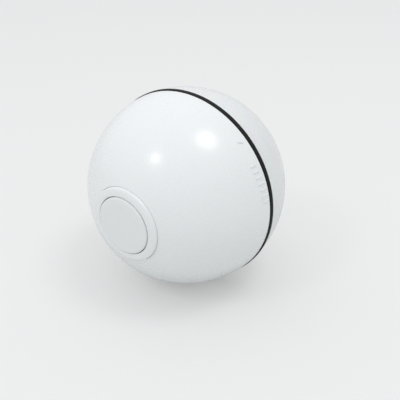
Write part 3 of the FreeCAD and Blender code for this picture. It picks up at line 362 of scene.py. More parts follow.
@dataclass(frozen=True)
class MouldedPlastic(Finish):
    """Injection-moulded plastic, from gloss shells to the matt frame of the core."""

    sheen: Sheen = Sheen.SATIN
    grain: float = 0.3
    drift: float = 0.03
    coat: float = 0.0
    dust: float = 0.05
    worn_colour: Colour = (0.9, 0.9, 0.9)

    def shader(self, wiring: Wiring) -> Node:
        """Build the plastic's nodes and give its shader node."""
        drifting, waves = self.drifting(wiring, 45.0, self.drift)
        wear = EDGE_WEAR.place(wiring, Amount=self.wear).outputs["Mask"]
        scuffs = SCUFFS.place(wiring, Amount=self.wear)
        dust = DUST.place(wiring, Amount=self.dust).outputs["Mask"]
        grain = GRAIN.place(wiring, Scale=3500.0)
        edged = wiring.blend(wear, drifting, rgba(self.worn_colour))
        colour = wiring.blend(dust, edged, (0.55, 0.53, 0.5, 1.0))
        base = self.sheen.value
        rough = wiring.remap(grain.outputs["Mask"], 0.0, 1.0, base * 0.92, base * 1.1)
        smeared = wiring.maths("MULTIPLY_ADD", scuffs.outputs["Smear"], 0.1, rough)
        scratched = wiring.maths("MULTIPLY_ADD", scuffs.outputs["Scratch"], 0.18, smeared)
        under = self.bump(wiring, waves, 0.00003, 0.25)
        normal = self.bump(wiring, grain.outputs["Height"], 0.000012, self.grain, under)
        return self.principled(wiring, colour, scratched, normal, IOR=PLASTIC_IOR, Coat_Weight=self.coat,
                               Coat_Roughness=0.17)


@dataclass(frozen=True)
class MilkyPlastic(Finish):
    """Milky plastic that lets the lamps glow through."""

    clear: float = 0.12

    def shader(self, wiring: Wiring) -> Node:
        """Build the milky plastic's nodes and give its shader node."""
        colour, _ = self.drifting(wiring, 35.0, 0.03)
        smear = SCUFFS.place(wiring, Amount=self.wear).outputs["Smear"]
        grain = GRAIN.place(wiring, Scale=5200.0)
        rough = wiring.maths("MULTIPLY_ADD", smear, 0.08,
                             wiring.remap(grain.outputs["Mask"], 0.0, 1.0, 0.26, 0.3))
        normal = self.bump(wiring, grain.outputs["Height"], 0.000003, 0.12)
        return self.principled(wiring, colour, rough, normal, IOR=PLASTIC_IOR, Transmission_Weight=self.clear,
                               Subsurface_Weight=0.2, Subsurface_Scale=0.0015, Coat_Weight=0.3,
                               Coat_Roughness=0.1)


@dataclass(frozen=True)
class SoftRubber(Finish):
    """Moulded silicone or rubber, dry to the touch, that picks up dust."""

    dust: float = 0.25
    roughness: float = 0.62

    def shader(self, wiring: Wiring) -> Node:
        """Build the rubber's nodes and give its shader node."""
        drifting, _ = self.drifting(wiring, 90.0, 0.2)
        grain = GRAIN.place(wiring, Scale=5200.0)
        dust = DUST.place(wiring, Amount=self.dust).outputs["Mask"]
        wear = EDGE_WEAR.place(wiring, Amount=self.wear).outputs["Mask"]
        rubbed = wiring.blend(wear, drifting, (0.04, 0.04, 0.043, 1.0))
        colour = wiring.blend(dust, rubbed, (0.3, 0.29, 0.28, 1.0))
        rough = wiring.remap(grain.outputs["Mask"], 0.0, 1.0, self.roughness - 0.06, self.roughness + 0.1)
        normal = self.bump(wiring, grain.outputs["Height"], 0.00002, 0.5)
        return self.principled(wiring, colour, rough, normal, IOR=RUBBER_IOR, Specular_IOR_Level=0.3)


@dataclass(frozen=True)
class WorkedMetal(Finish):
    """Turned, drawn, plated or cast metal."""

    roughness: float = 0.3
    lay: float = 0.3
    tarnish: Colour = (0.3, 0.29, 0.28)
    tarnish_share: float = 0.25
    worn_gain: float = 1.25

    def shader(self, wiring: Wiring) -> Node:
        """Build the metal's nodes and give its shader node."""
        shade = MOTTLING.place(wiring, Scale=160.0, Amount=1.0).outputs["Shade"]
        lay = LAY.place(wiring, Scale=3000.0)
        wear = EDGE_WEAR.place(wiring, Amount=self.wear).outputs["Mask"]
        stained = wiring.remap(shade, 0.0, 1.0, self.tarnish_share, 0.0)
        aged = wiring.blend(stained, rgba(self.colour), rgba(self.tarnish))
        worn = tuple(min(1.0, part * self.worn_gain) for part in self.colour)
        colour = wiring.blend(wear, aged, rgba(worn))
        rough = wiring.remap(lay.outputs["Mask"], 0.0, 1.0, self.roughness * 0.8, self.roughness * 1.25)
        normal = self.bump(wiring, lay.outputs["Height"], 0.00001, self.lay)
        return self.principled(wiring, colour, rough, normal, Metallic=1.0)


@dataclass(frozen=True)
class ClearLens(Finish):
    """Cast resin of a lamp, clear with faint haze and tool lines."""

    def shader(self, wiring: Wiring) -> Node:
        """Build the resin's nodes and give its shader node."""
        colour, waves = self.drifting(wiring, 300.0, 0.08)
        smear = SCUFFS.place(wiring, Amount=self.wear).outputs["Smear"]
        rough = wiring.remap(smear, 0.0, 1.0, 0.06, 0.16)
        normal = self.bump(wiring, waves, 0.00002, 0.2)
        return self.principled(wiring, colour, rough, normal, IOR=PLASTIC_IOR, Transmission_Weight=0.85)


@dataclass(frozen=True)
class BoardLacquer(Finish):
    """Lacquered circuit board, with the copper paths raised a hair under its lacquer."""

    copper: Colour = (0.09, 0.36, 0.17)

    def paths(self, wiring: Wiring, where: Socket) -> Socket:
        """Give the mask of the copper paths: long, thin lines in rows, only in some regions."""
        flat = wiring.stretched(where, (1.0, 1.0, 1.0), (math.radians(90.0), 0.0, 0.0))
        rows = wiring.add("ShaderNodeTexBrick", {
            "Vector": flat, "Scale": 1.0, "Mortar Size": 0.00011, "Mortar Smooth": 0.1, "Brick Width": 0.013,
            "Row Height": 0.00075}, offset=0.31, offset_frequency=4, squash=0.55, squash_frequency=3)
        routed = wiring.remap(wiring.noise(where, 130.0, 1.0), 0.47, 0.48)
        return wiring.maths("MULTIPLY", rows.outputs["Fac"], routed)

    def shader(self, wiring: Wiring) -> Node:
        """Build the board's nodes and give its shader node."""
        where = wiring.where()
        holes = wiring.add("ShaderNodeTexVoronoi", {"Vector": where, "Scale": 330.0, "Randomness": 0.8})
        vias = wiring.remap(holes.outputs["Distance"], 0.09, 0.12, 1.0, 0.0)
        poured = wiring.remap(wiring.noise(where, 70.0, 1.0), 0.54, 0.545)
        copper = wiring.maths("MAXIMUM", wiring.maths("MAXIMUM", self.paths(wiring, where), vias),
                              wiring.maths("MULTIPLY", poured, 0.6))
        shade = MOTTLING.place(wiring, Scale=200.0, Amount=0.12).outputs["Shade"]
        smear = SCUFFS.place(wiring, Amount=self.wear).outputs["Smear"]
        laid = wiring.blend(copper, rgba(self.colour), rgba(self.copper))
        colour = wiring.blend(1.0, laid, shade, "MULTIPLY")
        rough = wiring.remap(smear, 0.0, 1.0, 0.24, 0.4)
        normal = self.bump(wiring, copper, 0.00003, 0.5)
        return self.principled(wiring, colour, rough, normal, IOR=PLASTIC_IOR, Coat_Weight=0.3,
                               Coat_Roughness=0.15)


@dataclass(frozen=True)
class ShrinkWrap(Finish):
    """Shrunk plastic sleeve of the cell, drawn tight with small creases round its length."""

    def shader(self, wiring: Wiring) -> Node:
        """Build the sleeve's nodes and give its shader node."""
        drawn = wiring.stretched(wiring.where(), (1.0, 5.0, 1.0))
        creases = wiring.noise(drawn, 140.0, 5.0, 0.6)
        drifting, _ = self.drifting(wiring, 120.0, 0.12)
        wear = EDGE_WEAR.place(wiring, Amount=self.wear).outputs["Mask"]
        colour = wiring.blend(wear, drifting, (0.4, 0.5, 0.62, 1.0))
        rough = wiring.remap(creases, 0.3, 0.7, 0.2, 0.34)
        normal = self.bump(wiring, creases, 0.00012, 0.5)
        return self.principled(wiring, colour, rough, normal, IOR=PLASTIC_IOR, Coat_Weight=0.4,
                               Coat_Roughness=0.1)


SHELL_WHITE = MouldedPlastic("Gloss white shell", (0.83, 0.843, 0.848), 0.12, Sheen.GLOSS, 0.12, 0.012,
                             0.35, 0.02)
RING_WHITE = MouldedPlastic("Gloss white ring", (0.82, 0.833, 0.838), 0.12, Sheen.GLOSS, 0.12, 0.012,
                            0.3, 0.02)
BUTTON_WHITE = MouldedPlastic("Satin white button", (0.8, 0.815, 0.82), 0.2, Sheen.SATIN, 0.3, 0.02,
                              dust=0.02)
DOME_MILKY = MilkyPlastic("Milky dome", (0.87, 0.88, 0.885), 0.15)
BAND_BLACK = SoftRubber("Black seam band", (0.006, 0.0065, 0.0075), 0.15, 0.04, 0.6)
BOOT_RUBBER = SoftRubber("Grey boot rubber", (0.42, 0.43, 0.44), 0.2, 0.1, 0.55)
GEAR_NATURAL = MouldedPlastic("Natural gear plastic", (0.78, 0.76, 0.7), 0.3, Sheen.SATIN, 0.3, 0.05)
FRAME_DARK = MouldedPlastic("Dark frame plastic", (0.045, 0.047, 0.05), 0.4, Sheen.MATT, 0.7, 0.15,
                            dust=0.12, worn_colour=(0.13, 0.13, 0.135))
CAP_DARK = MouldedPlastic("Black cap plastic", (0.02, 0.02, 0.022), 0.3, Sheen.SATIN, 0.5, 0.12, dust=0.1,
                          worn_colour=(0.1, 0.1, 0.105))
BRASS = WorkedMetal("Turned brass", (0.78, 0.6, 0.3), 0.4, 0.26, 0.35, (0.4, 0.26, 0.12), 0.3)
STEEL = WorkedMetal("Ground steel", (0.62, 0.62, 0.63), 0.4, 0.32, 0.4)
SCREW_STEEL = WorkedMetal("Black-zinc screws", (0.3, 0.3, 0.32), 0.6, 0.34, 0.3)
CAN_STEEL = WorkedMetal("Plated motor can", (0.7, 0.7, 0.71), 0.3, 0.28, 0.5)
SOLDER = WorkedMetal("Soft solder", (0.72, 0.73, 0.74), 0.2, 0.24, 0.15)
GOLD_PLATE = WorkedMetal("Gold-plated contact", (0.83, 0.62, 0.26), 0.2, 0.22, 0.2, (0.5, 0.34, 0.12), 0.15)
CERAMIC_TAN = MouldedPlastic("Tan ceramic", (0.42, 0.3, 0.17), 0.2, Sheen.SATIN, 0.4, 0.12)
INSULATOR_WHITE = MouldedPlastic("White insulating washer", (0.74, 0.73, 0.7), 0.3, Sheen.MATT, 0.6, 0.08)
PHOSPHOR = MouldedPlastic("Lamp phosphor", (0.86, 0.74, 0.26), 0.1, Sheen.MATT, 0.4, 0.1)
WIRE_RED = SoftRubber("Red wire sleeve", (0.42, 0.02, 0.02), 0.2, 0.1, 0.4)
WIRE_BLACK = SoftRubber("Black wire sleeve", (0.015, 0.015, 0.017), 0.2, 0.1, 0.4)
WIRE_YELLOW = SoftRubber("Yellow wire sleeve", (0.62, 0.42, 0.04), 0.2, 0.1, 0.4)
CELL_WRAP = ShrinkWrap("Blue cell sleeve", (0.04, 0.14, 0.36), 0.25)
BOARD_GREEN = BoardLacquer("Green board lacquer", (0.015, 0.15, 0.06), 0.3)
LAMP_CLEAR = ClearLens("Clear lamp resin", (0.95, 0.97, 0.98), 0.3)


# Shapes and places, in millimetres: (radius, height) for a turned profile

RING_PROFILE: Profile = [
    (10.2, 25.6), (10.2, 28.96), (9.35, 28.96), (9.35, 30.86), (9.39, 30.96), (9.5, 31.0), (9.9, 30.97),
    (10.6, 30.84), (11.2, 30.66), (11.55, 30.5), (11.75, 30.36), (11.86, 30.18), (11.9, 29.95), (11.9, 25.6)]
CAP_PROFILE: Profile = [
    (0.4, 31.66), (2.2, 31.65), (4.2, 31.62), (6.2, 31.57), (7.6, 31.51), (8.4, 31.46), (8.75, 31.4),
    (8.96, 31.28), (9.07, 31.12), (9.1, 30.95), (9.1, 28.66), (10.1, 28.66), (10.1, 27.86), (7.9, 27.86),
    (7.9, 30.21), (0.4, 30.21)]
SMOOTH_AROUND = 160
SCREW_SHANK = 0.8
SCREW_HEAD: Profile = [(1.6, 0.0), (1.6, 0.4), (1.52, 0.58), (1.3, 0.75), (0.95, 0.85), (0.5, 0.89)]
RECESS_ARMS: list[Point] = [(1.7, 0.9, 0.36), (0.36, 0.9, 1.7)]
RECESS_MIDDLE = 0.85
SOLDER_SHAPE: Profile = [(1.0, 0.0), (0.8, 0.14), (0.5, 0.34), (0.34, 0.62), (0.18, 0.76)]
SOLDER_RADIUS = 0.62
LAMP_CUP: Profile = [(0.32, 19.6), (0.32, 21.2), (0.62, 21.4), (0.7, 21.9), (0.56, 21.9), (0.42, 21.55)]
LAMP_FACE: Profile = [(0.4, 21.57), (0.48, 21.76), (0.3, 21.84)]
CELL_WASHER: Profile = [(2.75, 16.02), (6.3, 16.02), (6.35, 16.1), (6.3, 16.2), (2.75, 16.2), (2.65, 16.1)]
CELL_DIMPLE: Profile = [(0.3, 16.86), (0.24, 16.92), (0.1, 16.9)]
MOTOR_BEARING: Profile = [(2.3, 12.8), (2.3, 13.3), (2.15, 13.45), (1.3, 13.45), (1.2, 13.3), (1.2, 13.1)]

LAMP_CUP_SPOT: Spot = (-0.25, 0.0)
LAMP_POST: Point = (0.28, 2.1, 0.3)
LAMP_POST_MIDDLE: Point = (0.72, 20.7, 0.0)
PIN: Point = (0.3, 0.12, 0.5)
PIN_RISE = 0.75
PIN_REACH = 0.2
PIN_BENDS: list[Point] = [(0.0, -0.62, 0.16), (0.0, 0.0, 0.5)]
RESISTOR: Point = (2.0, 0.55, 1.2)
RESISTOR_END = 0.35
CAPACITOR: Point = (2.2, 1.1, 1.4)
CAPACITOR_END = 0.4
END_PROUD = 0.03
CRYSTAL_CAN: Point = (4.6, 1.7, 1.9)
CRYSTAL_FOOT: Point = (5.4, 0.25, 2.6)
TONGUE_SLEEVE: Point = (6.94, 5.2, 0.74)
CONTACT: Point = (0.38, 4.6, 0.08)
CONTACT_OFFSETS = (-2.25, -1.35, -0.45, 0.45, 1.35, 2.25)
CONTACT_RISE = 0.39
CELL_STRIP: Point = (1.9, 0.14, 6.2)
CRIMP: Point = (1.8, 0.9, 0.45)
CRIMP_MIDDLE: Point = (0.0, 11.2, 7.2)
CRIMP_ANGLES = (45.0, 135.0, 225.0, 315.0)
MIDDLE: Point = (0.0, 0.0, 0.0)

# X, Z and turn in degrees of the parts on the main board, and X and Z of its solder joints
RESISTORS: list[Placing] = [
    (-9.6, -1.6, 90), (-11.6, -1.6, 90), (-5.8, -3.4, 0), (7.4, -3.2, 0), (7.4, -1.6, 0), (10.6, 1.0, 90),
    (12.4, 1.0, 90), (-2.4, 6.0, 90)]
CAPACITORS: list[Placing] = [(-12.8, 1.6, 90), (6.4, 5.2, 0), (3.2, 5.9, 0), (8.2, 1.4, 90)]
SOLDER_SPOTS: list[Spot] = [
    (-4.6, 14.4), (-2.2, 14.4), (2.2, 14.4), (4.6, 14.4), (-14.2, 4.6), (-14.2, 6.4), (14.2, 4.6),
    (14.2, 6.4), (-5.6, -6.4), (5.6, -6.4)]


# Modelling by hand

def start_clean() -> None:
    """Leave edit mode and deselect everything."""
    if bpy.context.object and bpy.context.object.mode != "OBJECT":
        bpy.ops.object.mode_set(mode="OBJECT")
    bpy.ops.object.select_all(action="DESELECT")


def pick(piece: Piece) -> None:
    """Make one object the only selected one and the active one."""
    start_clean()
    piece.select_set(True)
    bpy.context.view_layer.objects.active = piece


def select_where(piece: Piece, part: str, test: Callable[[Any], bool]) -> None:
    """Select the edges or faces of a mesh that pass a test, and go to edit mode.

    Args:
        piece: The object.
        part: EDGE or FACE.
        test: Says whether an edge or polygon is wanted.
    """
    pick(piece)
    bpy.ops.object.mode_set(mode="EDIT")
    bpy.ops.mesh.select_mode(type=part)
    bpy.ops.mesh.select_all(action="DESELECT")
    bpy.ops.object.mode_set(mode="OBJECT")
    for item in piece.data.edges if part == "EDGE" else piece.data.polygons:
        item.select = test(item)
    bpy.ops.object.mode_set(mode="EDIT")


def settle(piece: Piece) -> None:
    """Put a finished piece's place into its mesh, point its faces outwards and smooth its curves."""
    pick(piece)
    bpy.ops.object.transform_apply(location=True, rotation=True, scale=True)
    bpy.ops.object.mode_set(mode="EDIT")
    bpy.ops.mesh.select_all(action="SELECT")
    bpy.ops.mesh.remove_doubles(threshold=MERGE_DISTANCE)
    bpy.ops.mesh.normals_make_consistent(inside=False)
    bpy.ops.object.mode_set(mode="OBJECT")
    bpy.ops.object.shade_smooth_by_angle(angle=math.radians(SHARP_EDGE))


def dress(piece: Piece, finish: Finish) -> None:
    """Give a piece its finish and nothing else."""
    piece.data.materials.clear()
    piece.data.materials.append(finish.material())


def add_piece(piece: Piece, name: str, finish: Finish, body: str) -> Piece:
    """Name a new piece, dress it and let it ride on its body.

    Args:
        piece: The finished object.
        name: Its name.
        finish: Its finish.
        body: The CAD body that it moves with.

    Returns:
        The same object.
    """
    settle(piece)
    piece.name = name
    piece.data.name = name
    dress(piece, finish)
    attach(piece, body)
    LOG.info("piece %s on %s, %d faces", name, body, len(piece.data.polygons))
    return piece


def shift(x: float, y: float, z: float) -> Matrix:
    """Give a move, from millimetres."""
    return Matrix.Translation(Vector((x, y, z)) * MM)


def moved(piece: Piece, by: Matrix) -> Piece:
    """Move a piece in its mesh and give it."""
    piece.data.transform(by)
    return piece


def bevelled(piece: Piece, width: float, segments: int) -> Piece:
    """Bevel all edges of a piece, by a width in millimetres, and give it."""
    select_where(piece, "EDGE", lambda edge: True)
    bpy.ops.mesh.bevel(offset=width * MM, segments=segments, affect="EDGES")
    bpy.ops.object.mode_set(mode="OBJECT")
    return piece


def block(size: Point, place: Point, bevel: float, segments: int = 2) -> Piece:
    """Model a block with bevelled edges.

    Args:
        size: Its sides, in millimetres.
        place: Its middle, in millimetres.
        bevel: Width of the bevel, in millimetres.
        segments: Steps of the bevel.

    Returns:
        The object, with its place in its mesh.
    """
    start_clean()
    bpy.ops.mesh.primitive_cube_add(size=1.0)
    made = bpy.context.object
    made.scale = [side * MM for side in size]
    bpy.ops.object.transform_apply(location=False, rotation=False, scale=True)
    return moved(bevelled(made, bevel, segments), shift(*place))


def turned(profile: Profile, axis: Spot = (0.0, 0.0), around: int = 48, closed: bool = False,
           forward: bool = True) -> Piece:
    """Model a turned piece: a circle is extruded from point to point of a profile and resized at each.

    Args:
        profile: (radius, height) in millimetres. Heights are ahead of the seam plane, towards the button,
            or behind it where forward is False.
        axis: The piece's axis, as X and Z in millimetres.
        around: Vertices round the axis.
        closed: Whether the profile returns to its first point, as for a ring. Otherwise both ends are capped.
        forward: Which way the heights run.

    Returns:
        The object, with its place in its mesh.
    """
    start_clean()
    radius, height = profile[0]
    bpy.ops.mesh.primitive_circle_add(vertices=around, radius=radius * MM, fill_type="NOTHING")
    made = bpy.context.object
    bpy.ops.object.mode_set(mode="EDIT")
    bpy.ops.mesh.select_mode(type="EDGE")
    bpy.ops.mesh.select_all(action="SELECT")
    if not closed:
        bpy.ops.mesh.edge_face_add()
    for next_radius, next_height in profile[1:] + (profile[:1] if closed else []):
        rise = (next_height - height) * MM
        bpy.ops.mesh.extrude_edges_move(TRANSFORM_OT_translate={"value": (0.0, 0.0, rise)})
        share = next_radius / radius
        bpy.ops.transform.resize(value=(share, share, 1.0), center_override=(0.0, 0.0, 0.0))
        radius, height = next_radius, next_height
    if closed:
        bpy.ops.mesh.select_all(action="SELECT")
        bpy.ops.mesh.remove_doubles(threshold=MERGE_DISTANCE)
    else:
        bpy.ops.mesh.edge_face_add()
    bpy.ops.object.mode_set(mode="OBJECT")
    way = 1.0 if forward else -1.0
    turn = Matrix.Rotation(math.radians(90.0 * way), 4, "X")
    return moved(made, shift(axis[0], -way * profile[0][1], axis[1]) @ turn)


def copies(first: Piece, places: list[Matrix]) -> Piece:
    """Copy a piece to several places and join the copies to one object.

    Args:
        first: The piece, modelled once.
        places: What moves it to each of its places.

    Returns:
        One object with them all. The first piece is used up.
    """
    made = []
    for place in places:
        pick(first)
        bpy.ops.object.duplicate()
        made.append(moved(bpy.context.object, place))
    bpy.data.objects.remove(first)
    return joined(made)


def joined(parts: list[Piece]) -> Piece:
    """Join objects to one and give it."""
    start_clean()
    for part in parts:
        part.select_set(True)
    bpy.context.view_layer.objects.active = parts[0]
    if len(parts) > 1:
        bpy.ops.object.join()
    return bpy.context.object


def wire(points: list[Point], radius: float) -> Piece:
    """Model a short wire between two soldered ends.

    Args:
        points: The bends of its line, in millimetres.
        radius: Of its sleeve, in millimetres.

    Returns:
        A mesh tube, closed at its ends.
    """
    start_clean()
    bpy.ops.curve.primitive_bezier_curve_add()
    line = bpy.context.object
    spline = line.data.splines[0]
    spline.bezier_points.add(len(points) - 2)
    for point, place in zip(spline.bezier_points, points):
        point.co = Vector(place) * MM
        point.handle_left_type = point.handle_right_type = "AUTO"
    line.data.resolution_u = 8
    line.data.bevel_depth = radius * MM
    line.data.bevel_resolution = 3
    line.data.use_fill_caps = True
    pick(line)
    bpy.ops.object.convert(target="MESH")
    return bpy.context.object


def solder_blob(place: Point, radius: float) -> Piece:
    """Model a cone of solder round a joint.

    Args:
        place: Middle of its foot, in millimetres.
        radius: Of its foot, in millimetres.

    Returns:
        The object, with its place in its mesh.
    """
    x, y, z = place
    cone = turned([(radius * share, height) for share, height in SOLDER_SHAPE], (x, z), 16, forward=False)
    return moved(cone, shift(0.0, y, 0.0))


def cross_screw(spot: Spot, foot: float, shank: float) -> Piece:
    """Model one small screw with a domed head and a cross recess, pointing at the button.

    Args:
        spot: Its axis, as X and Z in millimetres.
        foot: Y of the face that its head stands on, in millimetres.
        shank: Length below the head, in millimetres.

    Returns:
        The object, with its place in its mesh.
    """
    profile = [(SCREW_SHANK, -shank), (SCREW_SHANK, 0.0), *SCREW_HEAD]
    screw = moved(turned(profile, spot, 40, forward=False), shift(0.0, foot, 0.0))
    settle(screw)
    for arm in [block(size, (spot[0], foot + RECESS_MIDDLE, spot[1]), 0.05, 1) for size in RECESS_ARMS]:
        pick(screw)
        cut = screw.modifiers.new("recess", "BOOLEAN")
        cut.operation = "DIFFERENCE"
        cut.solver = "EXACT"
        cut.object = arm
        bpy.ops.object.modifier_apply(modifier=cut.name)
        bpy.data.objects.remove(arm)
    return screw


def on_circle(radius: float, angle: float) -> Spot:
    """Give X and Z of a spot on a circle round the ball's axis, from +X towards +Z, in degrees."""
    turn = math.radians(angle)
    return radius * math.cos(turn), radius * math.sin(turn)


# Sub-assemblies

@dataclass
class SubAssembly:
    """A group of CAD nodes that moves as one body, with its finishes and new pieces."""

    body: str
    finishes: dict[str, Finish]

    def dress_nodes(self) -> None:
        """Give each CAD node of the group its finish."""
        for name, finish in self.finishes.items():
            dress(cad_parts[name], finish)
            LOG.info("node %s: %s", name, finish.name)

    def build(self) -> None:
        """Build the group's new pieces. A plain group has none."""


@dataclass
class FrontHalf(SubAssembly):
    """Front shell with its button ring, ring gear and hub clip, and the raised marks beside the seam."""

    mark_height: float = 0.7
    tick_length: float = 2.3
    tick_width: float = 0.55
    ticks: int = 7
    tick_start: Spot = (-3.96, 31.4)
    tick_end: Spot = (-2.73, 10.4)
    pointer_place: Spot = (-3.6, 46.0)
    pointer_radius: float = 1.25

    def on_sphere(self, ahead: float, angle: float) -> Matrix:
        """Give the frame of a spot on the ball: Z outwards, X along the seam and Y towards the dome.

        Args:
            ahead: The spot's Y, in millimetres.
            angle: Its angle round the axis, from +X towards +Z, in degrees.

        Returns:
            A 4 by 4 placement.
        """
        y = ahead * MM
        out = math.sqrt(BALL_RADIUS ** 2 - y ** 2)
        turn = math.radians(angle)
        place = Vector((out * math.cos(turn), y, out * math.sin(turn)))
        normal = place.normalized()
        seam = Vector((-math.sin(turn), 0.0, math.cos(turn)))
        dome = normal.cross(seam)
        return Matrix.Translation(place) @ Matrix((seam, dome, normal)).transposed().to_4x4()

    def tick(self, number: int) -> Piece:
        """Model one raised tick: a short bar with bevelled, rounded ends, set across the seam's direction."""
        share = number / (self.ticks - 1)
        ahead, angle = (a + share * (b - a) for a, b in zip(self.tick_start, self.tick_end))
        bar = block((self.tick_width, self.tick_length, self.mark_height), MIDDLE, 0.14, 3)
        return moved(bar, self.on_sphere(ahead, angle))

    def pointer(self) -> Piece:
        """Model the raised pointer: a triangle that points at the seam band."""
        start_clean()
        bpy.ops.mesh.primitive_cylinder_add(vertices=3, radius=self.pointer_radius * MM,
                                            depth=self.mark_height * MM)
        return moved(bevelled(bpy.context.object, 0.16, 3), self.on_sphere(*self.pointer_place))

    def ring(self) -> Piece:
        """Model the ring round the button: its face slopes with the ball and its outer edge is rounded."""
        return turned(RING_PROFILE, around=SMOOTH_AROUND, closed=True)

    def build(self) -> None:
        """Build the ring and the raised marks."""
        ring = add_piece(self.ring(), "button_ring", RING_WHITE, self.body)
        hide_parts("button_bezel")
        for number in range(self.ticks):
            add_piece(self.tick(number), f"seam_tick_{number + 1}", SHELL_WHITE, self.body)
        add_piece(self.pointer(), "lock_pointer", SHELL_WHITE, self.body)


@dataclass
class PressButton(SubAssembly):
    """Button cap with its rod and the rubber boot that pushes it back."""

    def cap(self) -> Piece:
        """Model the cap: a crowned face with a rounded rim, the flange under the ring and a hollow behind."""
        return turned(CAP_PROFILE, around=SMOOTH_AROUND)

    def build(self) -> None:
        """Build the cap."""
        cap = add_piece(self.cap(), "button_cap", BUTTON_WHITE, self.body)
        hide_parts("power_button")


@dataclass
class LockBand(SubAssembly):
    """Soft band at the seam, which turns with the dome when it is unlocked."""


@dataclass
class MilkyDome(SubAssembly):
    """Milky rear dome with its spigot and lock lugs."""


